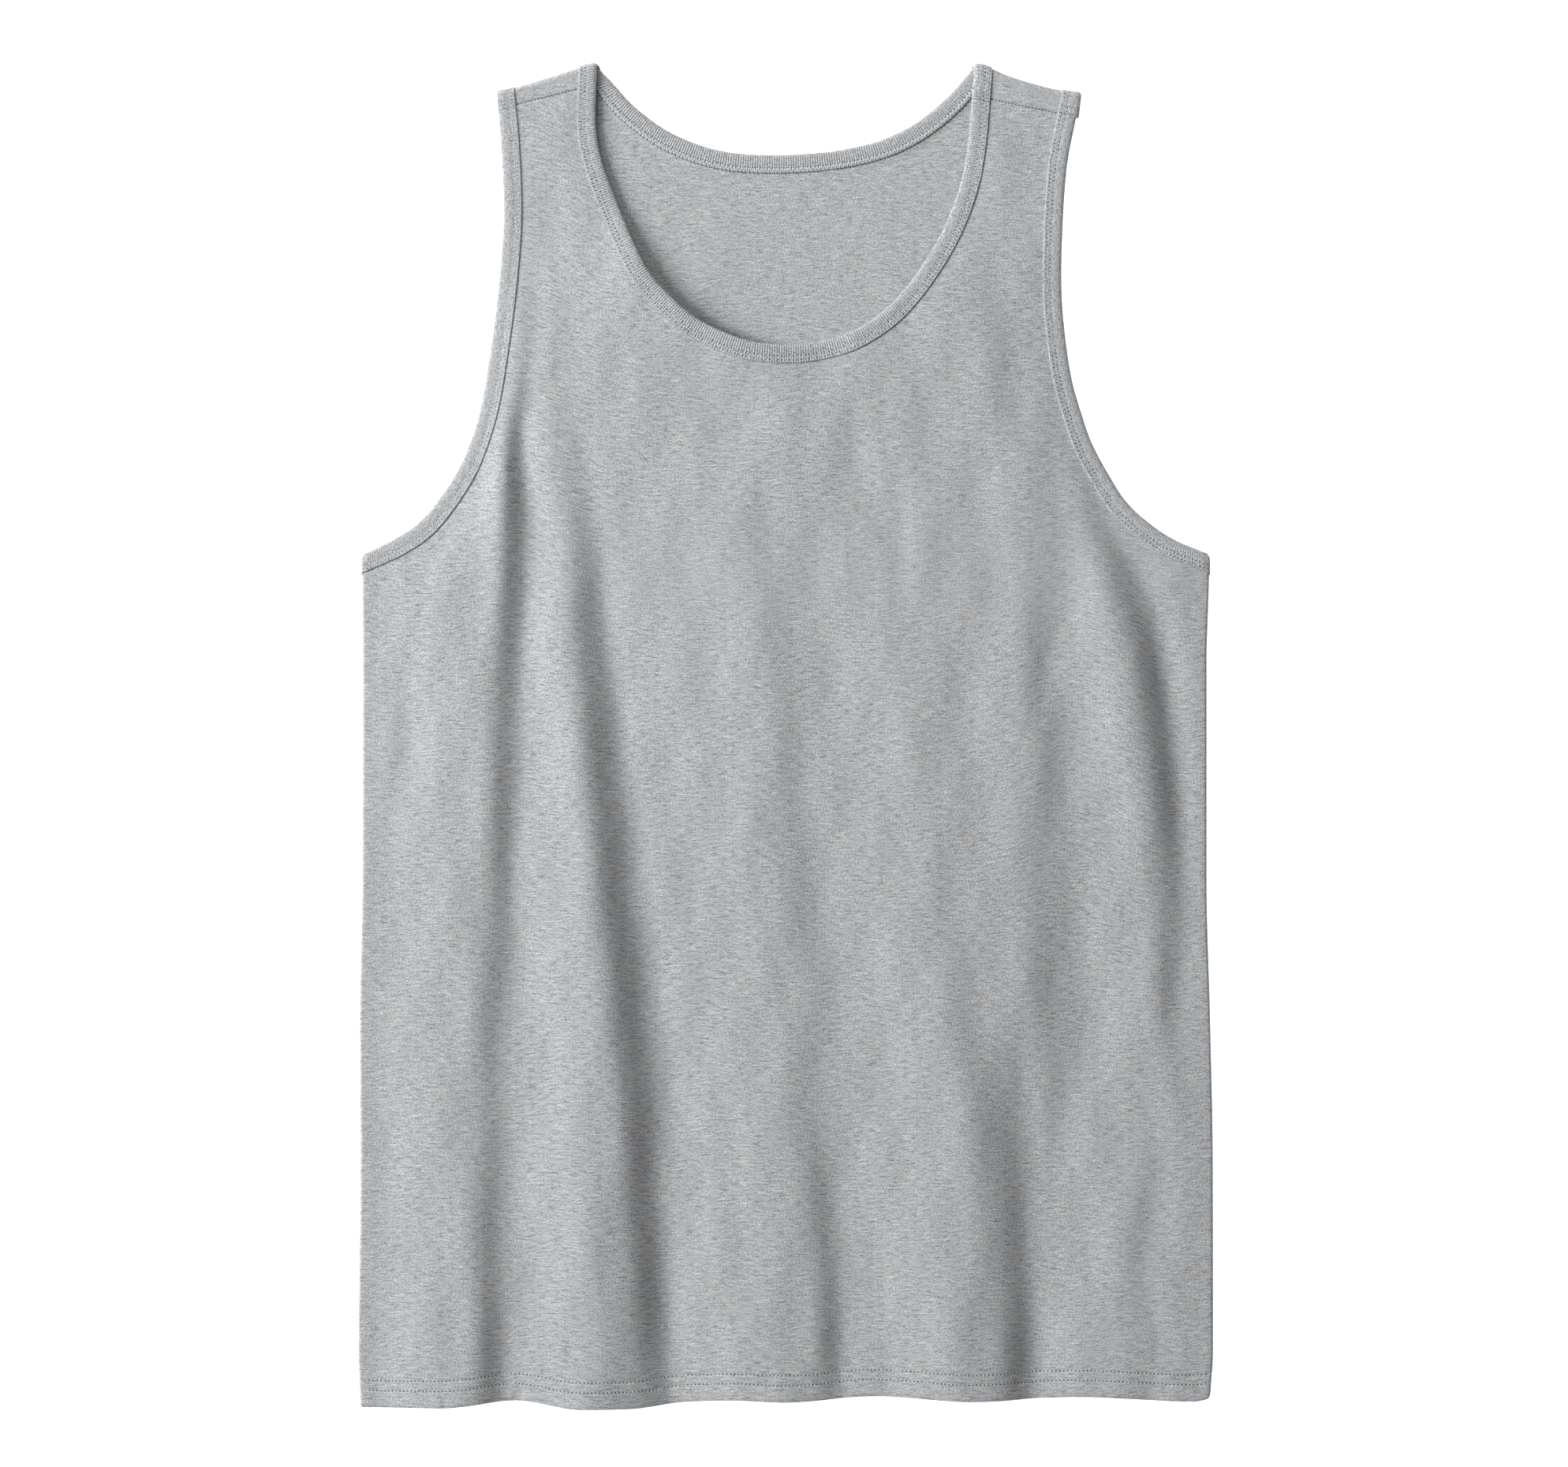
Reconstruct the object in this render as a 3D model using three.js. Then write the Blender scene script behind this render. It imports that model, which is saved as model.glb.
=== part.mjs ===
// A sleeveless tank top in jersey with rib bindings, laid flat on a surface with its front up.
// Millimetres, +Z up. The shoulders point to +Y and the hem to -Y, and the origin is the middle of
// the underside. The garment is a flattened tube: the back lies flat, turns over at the side folds
// and shoulder folds, and the front lies on it with long soft folds.

import * as THREE from 'three';

// Driving dimensions
const wall = 1.2;
const foldRadius = 2.2; // of the middle of the wall where the back turns over into the front
const seamGap = 0.3;
const hemDepth = 15;
const hemTurnUp = 0.6; // how much the turned-up layer adds on the inside
const hemStep = 0.8; // above the hem, where the wall is down to one layer again
const bindingWidth = 10.5;
const bindingEdge = 0.45; // half the thickness of a binding at its rounded opening edge
const bindingRound = 1.6; // how far in from that edge the binding reaches its full thickness
const chestRise = 4.5; // how far the middle of the front stands above its edges
const chestEase = 45; // over this distance from the outline
const reliefEase = 30; // folds die away within this distance of the outline
const hemWaveHeight = 120; // the hem's wave has died away this far up
const armpitMiddleY = 100; // of the row between the armpits, at the middle
const endTurnLength = 24; // of a binding, over which it turns to lie along a fold or seam

// How far each side of a binding stands from the middle of the wall
const frontBinding = { outer: 1.2, inner: 1.0 };
const backBinding = { outer: wall / 2, inner: 1.6 };

// Levels and insets that follow
const backLevel = wall / 2;
const foldLevel = backLevel + foldRadius;
const frontLevel = backLevel + 2 * foldRadius;
const foldInset = foldRadius + wall / 2; // from the outline to the axis that the cloth turns round
const bindingReach = bindingWidth + seamGap; // from an opening's edge to the panel's edge
const creaseReach = bindingReach + 0.2; // the same where an armhole binding turns over a side
const seamTurn = THREE.MathUtils.radToDeg(seamGap / 2 / foldRadius);
const sideTurns = [seamTurn, 30, 60, 90]; // degrees from the crease, for a panel's first columns

// How finely the cloth is divided
const frontColumns = 22; // from a side or an armhole to the middle or the neck
const backColumns = 7;
const frontBodyRows = 17;
const backBodyRows = 5;
const armholeSteps = 20;
const frontNeckSteps = 13;
const backNeckSteps = 8;
const risingTurns = [-90, -60, -30, 0, 30, 60, 90]; // degrees round a shoulder fold
const fallingTurns = [...risingTurns].reverse();
const slopeStep = 0.5; // to each side of a place, for the slope there
const halvings = 40; // of the stretch of a curve that is searched for a place

// Rows of numbers as objects with named columns
function table(columns, rows) {
  const names = columns.split(' ');
  return rows.map((row) => Object.fromEntries(names.map((name, i) => [name, row[i]])));
}

// Outline, in the plan
const sides = table('y left right', [
  [-372, -237.8, 237.6],
  [-345, -238.8, 238.8],
  [-240, -237.6, 238.7],
  [-160, -238.0, 237.2],
  [-80, -236.6, 235.2],
  [40, -236.3, 235.2],
  [94, -236.6, 236.6],
]);
const frontHem = table('x y', [
  [-238, -374.9],
  [-194, -374.9],
  [-150, -371.0],
  [-115, -375.6],
  [-88, -375.4],
  [-53, -371.8],
  [-27, -370.9],
  [0, -371.8],
  [52, -368.7],
  [105, -371.4],
  [165, -369.2],
  [228, -371.8],
  [238, -371.0],
]);
const backHem = table('x y', [
  [-238, -374.6],
  [-190, -373.2],
  [-140, -369.6],
  [0, -367.6],
  [140, -367.8],
  [238, -370.6],
]);
const shoulders = table('x y', [
  [-162, 360.3],
  [-145, 363.9],
  [-131, 368.3],
  [-117, 372.7],
  [-107, 375.45],
  [-103, 374.8],
  [103, 374.6],
  [107, 375.2],
  [123, 369.2],
  [134, 365.6],
  [152, 361.0],
  [165, 359.4],
]);

// Edges of the openings, each ending where the cloth starts to turn over a fold
const leftArmhole = table('x y', [
  [-233.8, 102.2],
  [-216.0, 111.3],
  [-203.7, 120.1],
  [-189.6, 137.7],
  [-179.5, 155.3],
  [-170.7, 181.7],
  [-164.6, 216.9],
  [-160.2, 252.1],
  [-157.6, 290.0],
  [-158.8, 327.0],
  [-161.4, 357.5],
]);
const rightArmhole = table('x y', [
  [233.8, 102.4],
  [213.8, 111.3],
  [191.8, 128.9],
  [180.0, 146.5],
  [170.7, 164.1],
  [164.6, 181.7],
  [159.7, 199.3],
  [154.9, 234.5],
  [154.0, 262.0],
  [157.1, 318.0],
  [161.8, 343.0],
  [164.4, 356.7],
]);
const frontNeck = table('x y', [
  [-105.4, 372.6],
  [-105.7, 339.2],
  [-102.5, 321.2],
  [-95.7, 302.3],
  [-85.6, 277.6],
  [-76.6, 259.6],
  [-66.4, 247.3],
  [-50.8, 233.6],
  [-33.9, 224.8],
  [-17.2, 219.6],
  [1.8, 218.2],
  [18.5, 220.0],
  [35.4, 225.0],
  [52.4, 235.4],
  [64.7, 247.3],
  [75.7, 261.8],
  [84.9, 276.8],
  [91.5, 290.8],
  [98.1, 310.2],
  [101.6, 330.4],
  [105.2, 372.2],
]);
const backNeck = table('x y', [
  [-103.4, 372.0],
  [-95.0, 363.0],
  [-86.2, 353.3],
  [-68.6, 339.7],
  [-51.0, 331.3],
  [-33.4, 326.5],
  [-11.0, 324.7],
  [19.4, 326.0],
  [37.0, 328.7],
  [54.6, 333.5],
  [72.2, 342.3],
  [89.8, 356.4],
  [103.6, 371.9],
]);
const armpit = { leftY: 99.9, rightY: 100.2 }; // the openings' lowest points, at the creases

// Where a shoulder seam meets the two openings' edges
const leftSeam = { armholeY: 349.8, neckY: 363.4 };
const rightSeam = { armholeY: 345.4, neckY: 357.6 };

// Folds down the front, left to right: crests and the troughs between them. Each passes through x
// at each section's height, and its rise is above the smooth chest.
const sectionHeights = [190, 110, 40, -50, -140, -240, -373];
const folds = [
  {
    name: 'outer left crest',
    x: [-158, -161, -167, -172, -178, -181, -181],
    rise: [0, 2.0, 3.6, 4.2, 4.7, 4.9, 6.0],
  },
  {
    name: 'outer left trough',
    x: [-146, -143, -145, -147, -149, -150, -149],
    rise: [0, -1.6, -0.6, 0.4, 0.9, 1.0, -0.4],
  },
  {
    name: 'left crest',
    x: [-129, -124, -120, -114, -111, -108, -108],
    rise: [0, 1.2, 3.2, 5.6, 7.6, 9.0, 7.4],
  },
  {
    name: 'left trough',
    x: [-113, -102, -94, -80, -66, -60, -64],
    rise: [0, -1.6, -1.8, -1.8, -1.8, -1.8, -1.8],
  },
  {
    name: 'middle crest',
    x: [-32, -22, -15, -10, -6, -3, -3],
    rise: [0, 2.2, 3.6, 3.4, 2.8, 3.4, 4.0],
  },
  {
    name: 'middle trough',
    x: [8, 22, 20, 22, 27, 34, 42],
    rise: [0, 1.4, 1.6, 1.2, 0.6, -0.9, -1.8],
  },
  {
    name: 'right crest',
    x: [62, 66, 71, 77, 89, 103, 97],
    rise: [0, 2.4, 3.8, 4.8, 5.5, 6.0, 5.8],
  },
  {
    name: 'right trough',
    x: [112, 110, 106, 101, 111, 130, 141],
    rise: [0, 1.2, 2.2, 3.8, 3.8, -0.6, -1.8],
  },
  {
    name: 'short right crest',
    x: [129, 131, 130, 129, 134, 148, 153],
    rise: [0, 2.2, 3.2, 4.6, 3.4, -1.1, -1.5],
  },
  {
    name: 'outer right trough',
    x: [146, 153, 159, 164, 167, 168, 165],
    rise: [0, -0.4, 0, 0.2, -0.7, -1.8, -0.4],
  },
  {
    name: 'outer right crest',
    x: [156, 170, 181, 194, 203, 204, 182],
    rise: [0, 1.4, 2.5, 2.9, 1.6, -0.2, 0.3],
  },
  {
    name: 'right edge trough',
    x: [170, 190, 211, 220, 222, 224, 225],
    rise: [0, -1.2, -1.6, -1.6, -1.3, -0.4, -0.4],
  },
];
const foldLimit = 240; // beyond the outline, where every fold has died away

// A smooth line through points, without overshoot. It keeps its end values beyond the ends.
function smoothLine(xs, ys) {
  const last = xs.length - 1;
  const slopes = xs.map((x, i) => {
    if (i === 0 || i === last) return 0;
    const before = (ys[i] - ys[i - 1]) / (x - xs[i - 1]);
    const after = (ys[i + 1] - ys[i]) / (xs[i + 1] - x);
    return before * after <= 0 ? 0 : (2 * before * after) / (before + after);
  });
  return (x) => {
    if (x <= xs[0]) return ys[0];
    if (x >= xs[last]) return ys[last];
    const i = xs.findIndex((end) => end > x) - 1;
    const span = xs[i + 1] - xs[i];
    const t = (x - xs[i]) / span;
    const bend = t * t * (3 - 2 * t);
    const start = slopes[i] * span * t * (1 - t) * (1 - t);
    const end = slopes[i + 1] * span * t * t * (1 - t);
    return ys[i] + (ys[i + 1] - ys[i]) * bend + start - end;
  };
}

function tableLine(rows, key, value) {
  return smoothLine(rows.map((row) => row[key]), rows.map((row) => row[value]));
}

const leftSideX = tableLine(sides, 'y', 'left');
const rightSideX = tableLine(sides, 'y', 'right');
const frontHemY = tableLine(frontHem, 'x', 'y');
const backHemY = tableLine(backHem, 'x', 'y');
const shoulderY = tableLine(shoulders, 'x', 'y');

function planCurve(rows) {
  const points = rows.map((row) => new THREE.Vector3(row.x, row.y, 0));
  const curve = new THREE.CatmullRomCurve3(points, false, 'centripetal');
  curve.arcLengthDivisions = 1000;
  return curve;
}

function ease(t) {
  return THREE.MathUtils.smoothstep(t, 0, 1);
}

// Where the front meets the back on one side of the garment, as short straight pieces: up the
// side, round the armhole and along the shoulder fold
const rimSideHeights = [-420, -240, -80, 40];
const rimArmholePieces = 40;

function rimPoints(armhole, sideX, shoulderXs) {
  const side = rimSideHeights.map((y) => new THREE.Vector2(sideX(y), y));
  const round = planCurve(armhole).getSpacedPoints(rimArmholePieces);
  const arm = round.map((point) => new THREE.Vector2(point.x, point.y));
  const top = shoulderXs.map((x) => new THREE.Vector2(x, shoulderY(x)));
  return [...side, ...arm, ...top];
}

const rims = [
  rimPoints(leftArmhole, leftSideX, [-161, -133, -106]),
  rimPoints(rightArmhole, rightSideX, [164, 135, 106]),
];

function distanceToRim(x, y) {
  let nearest = Infinity;
  for (const rim of rims) {
    for (let i = 0; i + 1 < rim.length; i += 1) {
      const [a, b] = [rim[i], rim[i + 1]];
      const [dx, dy] = [b.x - a.x, b.y - a.y];
      const along = ((x - a.x) * dx + (y - a.y) * dy) / (dx * dx + dy * dy);
      const t = THREE.MathUtils.clamp(along, 0, 1);
      nearest = Math.min(nearest, Math.hypot(x - a.x - dx * t, y - a.y - dy * t));
    }
  }
  return nearest;
}

const risingHeights = [...sectionHeights].reverse();
const foldLines = folds.map((fold) => ({
  x: smoothLine(risingHeights, [...fold.x].reverse()),
  rise: smoothLine(risingHeights, [...fold.rise].reverse()),
}));

function foldRelief(x, y) {
  const xs = [-foldLimit, ...foldLines.map((line) => line.x(y)), foldLimit];
  const rises = [0, ...foldLines.map((line) => line.rise(y)), 0];
  return smoothLine(xs, rises)(x);
}

// The height of the front's middle surface
function frontHeight(x, y) {
  const inward = distanceToRim(x, y);
  const chest = chestRise * ease(inward / chestEase);
  return frontLevel + chest + foldRelief(x, y) * ease(inward / reliefEase);
}

// How the cloth lies at a place: flat in the front or back layer, or turning over a fold
const onFront = { layer: 'front' };
const onBack = { layer: 'back' };

function overShoulder(turn) {
  return { layer: 'shoulder', turn };
}

function overSide(turn, sideX) {
  return { layer: 'side', turn, sideX };
}

// 1 in the front layer, 0 in the back layer, and between them round a fold
function frontShare(lay) {
  if (lay.layer === 'front') return 1;
  if (lay.layer === 'back') return 0;
  return (1 + Math.sin(THREE.MathUtils.degToRad(lay.turn))) / 2;
}

// The point of the middle surface over a place in the plan, and its normal out of the garment
function place(x, y, lay) {
  if (lay.layer === 'front') {
    const span = 2 * slopeStep;
    const slopeX = (frontHeight(x + slopeStep, y) - frontHeight(x - slopeStep, y)) / span;
    const slopeY = (frontHeight(x, y + slopeStep) - frontHeight(x, y - slopeStep)) / span;
    const normal = new THREE.Vector3(-slopeX, -slopeY, 1).normalize();
    return { point: new THREE.Vector3(x, y, frontHeight(x, y)), normal };
  }
  if (lay.layer === 'back') {
    return { point: new THREE.Vector3(x, y, backLevel), normal: new THREE.Vector3(0, 0, -1) };
  }
  const turn = THREE.MathUtils.degToRad(lay.turn);
  const [out, up] = [Math.cos(turn), Math.sin(turn)];
  const z = foldLevel + foldRadius * up;
  if (lay.layer === 'shoulder') {
    const slope = (shoulderY(x + slopeStep) - shoulderY(x - slopeStep)) / (2 * slopeStep);
    const normal = new THREE.Vector3(-slope * out, out, up).normalize();
    return { point: new THREE.Vector3(x, shoulderY(x) - foldInset + foldRadius * out, z), normal };
  }
  const outline = lay.sideX(y);
  const side = Math.sign(outline);
  const foldX = outline - side * (foldInset - foldRadius * out);
  return { point: new THREE.Vector3(foldX, y, z), normal: new THREE.Vector3(side * out, 0, up) };
}

function vertex(x, y, lay, outer, inner) {
  return { ...place(x, y, lay), outer, inner };
}

// The place that far into the cloth from a station, which is one place along an opening: its edge,
// the unit direction into the cloth, both in the plan, and how the cloth lies there.
function stationPoint(at, distance) {
  return at.edge.clone().addScaledVector(at.into, distance);
}

// Where along a curve, between two fractions, a coordinate passes a value
function fractionWhere(curve, axis, value, from, to) {
  let [before, after] = [from, to];
  const rising = curve.getPointAt(to)[axis] > curve.getPointAt(from)[axis];
  for (let i = 0; i < halvings; i += 1) {
    const middle = (before + after) / 2;
    if (curve.getPointAt(middle)[axis] > value === rising) after = middle;
    else before = middle;
  }
  return (before + after) / 2;
}

// Stations on the front along part of a curve, which has the cloth on its right where hand is 1.
// Towards each end the direction into the cloth turns to the one that is given for it.
function stationsAlong(curve, hand, from, to, steps, intoFirst, intoLast) {
  const length = curve.getLength();
  return Array.from({ length: steps + 1 }, (_, i) => {
    const at = THREE.MathUtils.lerp(from, to, i / steps);
    const point = curve.getPointAt(at);
    const tangent = curve.getTangentAt(at);
    const into = new THREE.Vector2(tangent.y, -tangent.x).multiplyScalar(hand);
    const nearness = (end) => 1 - ease((Math.abs(at - end) * length) / endTurnLength);
    into.lerp(intoFirst, nearness(from)).lerp(intoLast, nearness(to)).normalize();
    return { edge: new THREE.Vector2(point.x, point.y), into, lay: onFront };
  });
}

const down = new THREE.Vector2(0, -1);
const frontNeckCurve = planCurve(frontNeck);
const backNeckCurve = planCurve(backNeck);

// Everything about one side of the garment: sign is -1 at the left and 1 at the right
function sideOf(sign, armholeRows, sideX, seam, creaseY) {
  const armholeCurve = planCurve(armholeRows);
  const neckEnd = sign < 0 ? 0 : 1;
  const neckMiddle = fractionWhere(frontNeckCurve, 'x', 0, 0, 1);
  const armholeSeam = fractionWhere(armholeCurve, 'y', seam.armholeY, 0, 1);
  const neckSeam = fractionWhere(frontNeckCurve, 'y', seam.neckY, neckMiddle, neckEnd);
  const low = armholeCurve.getPointAt(armholeSeam);
  const high = frontNeckCurve.getPointAt(neckSeam);
  const toNeck = new THREE.Vector2(high.x - low.x, high.y - low.y).normalize();
  const toArmhole = toNeck.clone().negate();
  const backMiddle = fractionWhere(backNeckCurve, 'x', 0, 0, 1);
  return {
    sign,
    sideX,
    creaseY,
    turnY: armholeCurve.getPointAt(0).y,
    toNeck,
    toArmhole,
    armhole: stationsAlong(armholeCurve, -sign, 0, armholeSeam, armholeSteps, down, toNeck),
    frontNeck: stationsAlong(
      frontNeckCurve, 1, neckMiddle, neckSeam, frontNeckSteps, down, toArmhole,
    ),
    backNeck: stationsAlong(
      backNeckCurve, 1, backMiddle, neckEnd, backNeckSteps, down, toArmhole,
    ),
    topX: {
      armhole: armholeCurve.getPointAt(1).x,
      frontNeck: frontNeckCurve.getPointAt(neckEnd).x,
      backNeck: backNeckCurve.getPointAt(neckEnd).x,
    },
  };
}

const left = sideOf(-1, leftArmhole, leftSideX, leftSeam, armpit.leftY);
const right = sideOf(1, rightArmhole, rightSideX, rightSeam, armpit.rightY);
const bothSides = [left, right];

// Stations of an armhole round the side fold, and of each opening over the shoulder fold
function creaseStation(side, turn) {
  const inward = 1 - Math.cos(THREE.MathUtils.degToRad(turn));
  const y = side.creaseY + (side.turnY - side.creaseY) * inward;
  return { edge: new THREE.Vector2(0, y), into: down, lay: overSide(turn, side.sideX) };
}

function armholeTop(side, turn) {
  const edge = new THREE.Vector2(side.topX.armhole, 0);
  return { edge, into: side.toNeck, lay: overShoulder(turn) };
}

function neckTop(side, turn) {
  const lay = overShoulder(turn);
  const x = THREE.MathUtils.lerp(side.topX.backNeck, side.topX.frontNeck, frontShare(lay));
  return { edge: new THREE.Vector2(x, 0), into: side.toArmhole, lay };
}

// The cloth as a solid: each vertex of the middle surface gives a point on each face, and a wall
// closes the sheet wherever a face has no neighbour.
function thicken(quads) {
  const order = new Map();
  const number = (v) => {
    if (!order.has(v)) order.set(v, order.size);
    return order.get(v);
  };
  const faces = quads.map((quad) => quad.map(number));
  const directed = new Set();
  for (const face of faces) {
    face.forEach((from, i) => directed.add(`${from} ${face[(i + 1) % 4]}`));
  }
  const count = order.size;
  const positions = new Float32Array(count * 6);
  for (const [v, i] of order) {
    v.point.clone().addScaledVector(v.normal, v.outer).toArray(positions, i * 3);
    v.point.clone().addScaledVector(v.normal, -v.inner).toArray(positions, (count + i) * 3);
  }
  const triangles = [];
  const addQuad = (a, b, c, d) => triangles.push(a, b, c, a, c, d);
  for (const face of faces) {
    const [a, b, c, d] = face;
    addQuad(a, b, c, d);
    addQuad(count + d, count + c, count + b, count + a);
    face.forEach((from, i) => {
      const to = face[(i + 1) % 4];
      if (!directed.has(`${to} ${from}`)) addQuad(to, from, count + from, count + to);
    });
  }
  const geometry = new THREE.BufferGeometry();
  geometry.setAttribute('position', new THREE.BufferAttribute(positions, 3));
  geometry.setIndex(triangles);
  geometry.computeVertexNormals();
  return geometry;
}

// Quads between neighbouring rows of vertices, turned over where the rows run the other way. A
// shorter row meets the end of a longer one.
function quadsBetween(rows, turnedOver) {
  const quads = [];
  for (let i = 0; i + 1 < rows.length; i += 1) {
    const upper = rows[i + 1];
    const lower = rows[i].slice(rows[i].length - upper.length);
    for (let j = 0; j + 1 < upper.length; j += 1) {
      const quad = [lower[j], lower[j + 1], upper[j + 1], upper[j]];
      quads.push(turnedOver ? quad.reverse() : quad);
    }
  }
  return quads;
}

// One half of a row that starts at the side fold. rowY gives its height at a place in the plan.
function foldedHalf(side, lay, rowY, columns, inner) {
  const facing = lay.layer === 'front' ? 1 : -1;
  const outlineX = side.sideX(0);
  const start = side.sideX(rowY(outlineX, 90)) - side.sign * foldInset;
  const folded = sideTurns.map((turn) => {
    const y = rowY(outlineX, turn);
    return vertex(outlineX, y, overSide(facing * turn, side.sideX), wall / 2, inner);
  });
  const flat = Array.from({ length: columns }, (_, j) => {
    const x = THREE.MathUtils.lerp(start, 0, (j + 1) / columns);
    return vertex(x, rowY(x, 90), lay, wall / 2, inner);
  });
  return [...folded, ...flat];
}

// One half of a row that starts at an armhole binding and ends at the middle or the neck binding
function openHalf(from, to, lay, columns) {
  return Array.from({ length: columns + 1 }, (_, j) => {
    const point = from.clone().lerp(to, j / columns);
    return vertex(point.x, point.y, lay, wall / 2, wall / 2);
  });
}

// Adds a row of two halves, which share their middle vertex where they are joined
function addRow(rows, [leftHalf, rightHalf], joined) {
  if (joined) rightHalf[rightHalf.length - 1] = leftHalf[leftHalf.length - 1];
  rows.left.push(leftHalf);
  rows.right.push(rightHalf);
}

// Rows up to the armpits. They follow the hem's wave and straighten above it.
function addBodyRows(rows, panel) {
  const { lay, hemY, columns } = panel;
  const hemMiddle = hemY(0);
  const top = armpitMiddleY - hemMiddle;
  const heights = [0, hemDepth];
  for (let i = 0; i < panel.bodyRows; i += 1) {
    heights.push(THREE.MathUtils.lerp(hemDepth + hemStep, top, i / panel.bodyRows));
  }
  for (const height of heights) {
    const wave = 1 - ease(height / hemWaveHeight);
    const rowY = (x) => hemMiddle + height + (hemY(x) - hemMiddle) * wave;
    const inner = wall / 2 + (height <= hemDepth ? hemTurnUp : 0);
    addRow(rows, bothSides.map((side) => foldedHalf(side, lay, rowY, columns, inner)), true);
  }
}

// The row whose ends run along the armhole bindings where they turn over the side folds
function addArmpitRow(rows, { lay, columns }) {
  addRow(rows, bothSides.map((side) => {
    const edgeY = (turn) => stationPoint(creaseStation(side, turn), creaseReach).y;
    const rowY = (x, turn) => {
      const outward = turn < 90 ? 1 : Math.min(1, x / side.sideX(0));
      return THREE.MathUtils.lerp(armpitMiddleY, edgeY(turn), outward);
    };
    return foldedHalf(side, lay, rowY, columns, wall / 2);
  }), true);
}

// Rows between the armholes, which end at the middle line and above it at the neck binding
function addUpperRows(rows, { lay, columns, neck }) {
  const middleRows = armholeSteps - (left[neck].length - 1);
  const neckLow = stationPoint(left[neck][0], bindingReach);
  for (let k = 1; k < armholeSteps; k += 1) {
    const joined = k <= middleRows;
    const middleY = THREE.MathUtils.lerp(armpitMiddleY, neckLow.y, k / middleRows);
    addRow(rows, bothSides.map((side) => {
      const from = stationPoint(side.armhole[k], bindingReach);
      const to = joined
        ? new THREE.Vector2(0, middleY)
        : stationPoint(side[neck][k - middleRows], bindingReach);
      return openHalf(from, to, lay, columns);
    }), joined);
  }
}

// A row along the shoulder seams, up is 1 for the back's edge and -1 for the front's
function addSeamRow(rows, columns, up) {
  addRow(rows, bothSides.map((side) => {
    const ends = [side.armhole.at(-1), side.frontNeck.at(-1)].map((end) => {
      const point = stationPoint(end, bindingReach);
      return point.setY(point.y + (up * seamGap) / 2);
    });
    return openHalf(...ends, onFront, columns);
  }), false);
}

// A row over the shoulders, whose places in Y follow from the turn
function addShoulderRow(rows, columns, turn) {
  addRow(rows, bothSides.map((side) => {
    const ends = [armholeTop(side, turn), neckTop(side, turn)];
    const [from, to] = ends.map((end) => stationPoint(end, bindingReach).setY(0));
    return openHalf(from, to, overShoulder(turn), columns);
  }), false);
}

function panelSolid(rows, facing) {
  return thicken([
    ...quadsBetween(rows.left, facing < 0),
    ...quadsBetween(rows.right, facing > 0),
  ]);
}

function frontPanel() {
  const panel = {
    lay: onFront,
    hemY: frontHemY,
    columns: frontColumns,
    bodyRows: frontBodyRows,
    neck: 'frontNeck',
  };
  const rows = { left: [], right: [] };
  addBodyRows(rows, panel);
  addArmpitRow(rows, panel);
  addUpperRows(rows, panel);
  addSeamRow(rows, panel.columns, -1);
  return panelSolid(rows, 1);
}

function backPanel() {
  const panel = {
    lay: onBack,
    hemY: backHemY,
    columns: backColumns,
    bodyRows: backBodyRows,
    neck: 'backNeck',
  };
  const rows = { left: [], right: [] };
  addBodyRows(rows, panel);
  addArmpitRow(rows, panel);
  addUpperRows(rows, panel);
  for (const turn of risingTurns) addShoulderRow(rows, panel.columns, turn);
  addSeamRow(rows, panel.columns, 1);
  return panelSolid(rows, -1);
}

// A binding as a closed band: rounded at the opening's edge, square beside the panel
function bindingSolid(stations, turnedOver) {
  const rows = stations.map((at) => {
    const share = frontShare(at.lay);
    const outer = THREE.MathUtils.lerp(backBinding.outer, frontBinding.outer, share);
    const inner = THREE.MathUtils.lerp(backBinding.inner, frontBinding.inner, share);
    const offCentre = (inner - outer) / 2;
    return [0, bindingRound, bindingWidth].map((distance) => {
      const { x, y } = stationPoint(at, distance);
      if (distance > 0) return vertex(x, y, at.lay, outer, inner);
      return vertex(x, y, at.lay, bindingEdge - offCentre, bindingEdge + offCentre);
    });
  });
  return thicken(quadsBetween([...rows, rows[0]], turnedOver));
}

function onBackLayer(stations) {
  return stations.map((at) => ({ ...at, lay: onBack }));
}

// Up the front from the crease, over the shoulder, down the back and round the crease
function armholeBinding(side) {
  const round = (turns) => turns.map((turn) => creaseStation(side, turn));
  return bindingSolid([
    ...round([0, 30, 60]),
    ...side.armhole,
    ...fallingTurns.map((turn) => armholeTop(side, turn)),
    ...onBackLayer(side.armhole.slice(0, -1).reverse()),
    ...round([-60, -30]),
  ], side.sign > 0);
}

// From the front's middle up the left side, round the back, and down the right side
function neckBinding() {
  return bindingSolid([
    ...left.frontNeck,
    ...fallingTurns.map((turn) => neckTop(left, turn)),
    ...onBackLayer(left.backNeck.slice(0, -1).reverse()),
    ...onBackLayer(right.backNeck.slice(1, -1)),
    ...risingTurns.map((turn) => neckTop(right, turn)),
    ...right.frontNeck.slice(1).reverse(),
  ], true);
}

const heatherGrey = new THREE.Color(0xa7aaac);

function cloth(name, roughness) {
  const material = new THREE.MeshStandardMaterial({ color: heatherGrey, roughness, metalness: 0 });
  material.name = name;
  return material;
}

const pieces = {
  front_panel: [frontPanel(), cloth('jersey', 0.92)],
  back_panel: [backPanel(), cloth('jersey', 0.92)],
  neck_binding: [neckBinding(), cloth('rib', 0.88)],
  armhole_binding_left: [armholeBinding(left), cloth('rib', 0.88)],
  armhole_binding_right: [armholeBinding(right), cloth('rib', 0.88)],
};

const tankTop = new THREE.Group();
for (const [name, [geometry, material]] of Object.entries(pieces)) {
  const mesh = new THREE.Mesh(geometry, material);
  mesh.name = name;
  tankTop.add(mesh);
}

export default tankTop;
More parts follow.
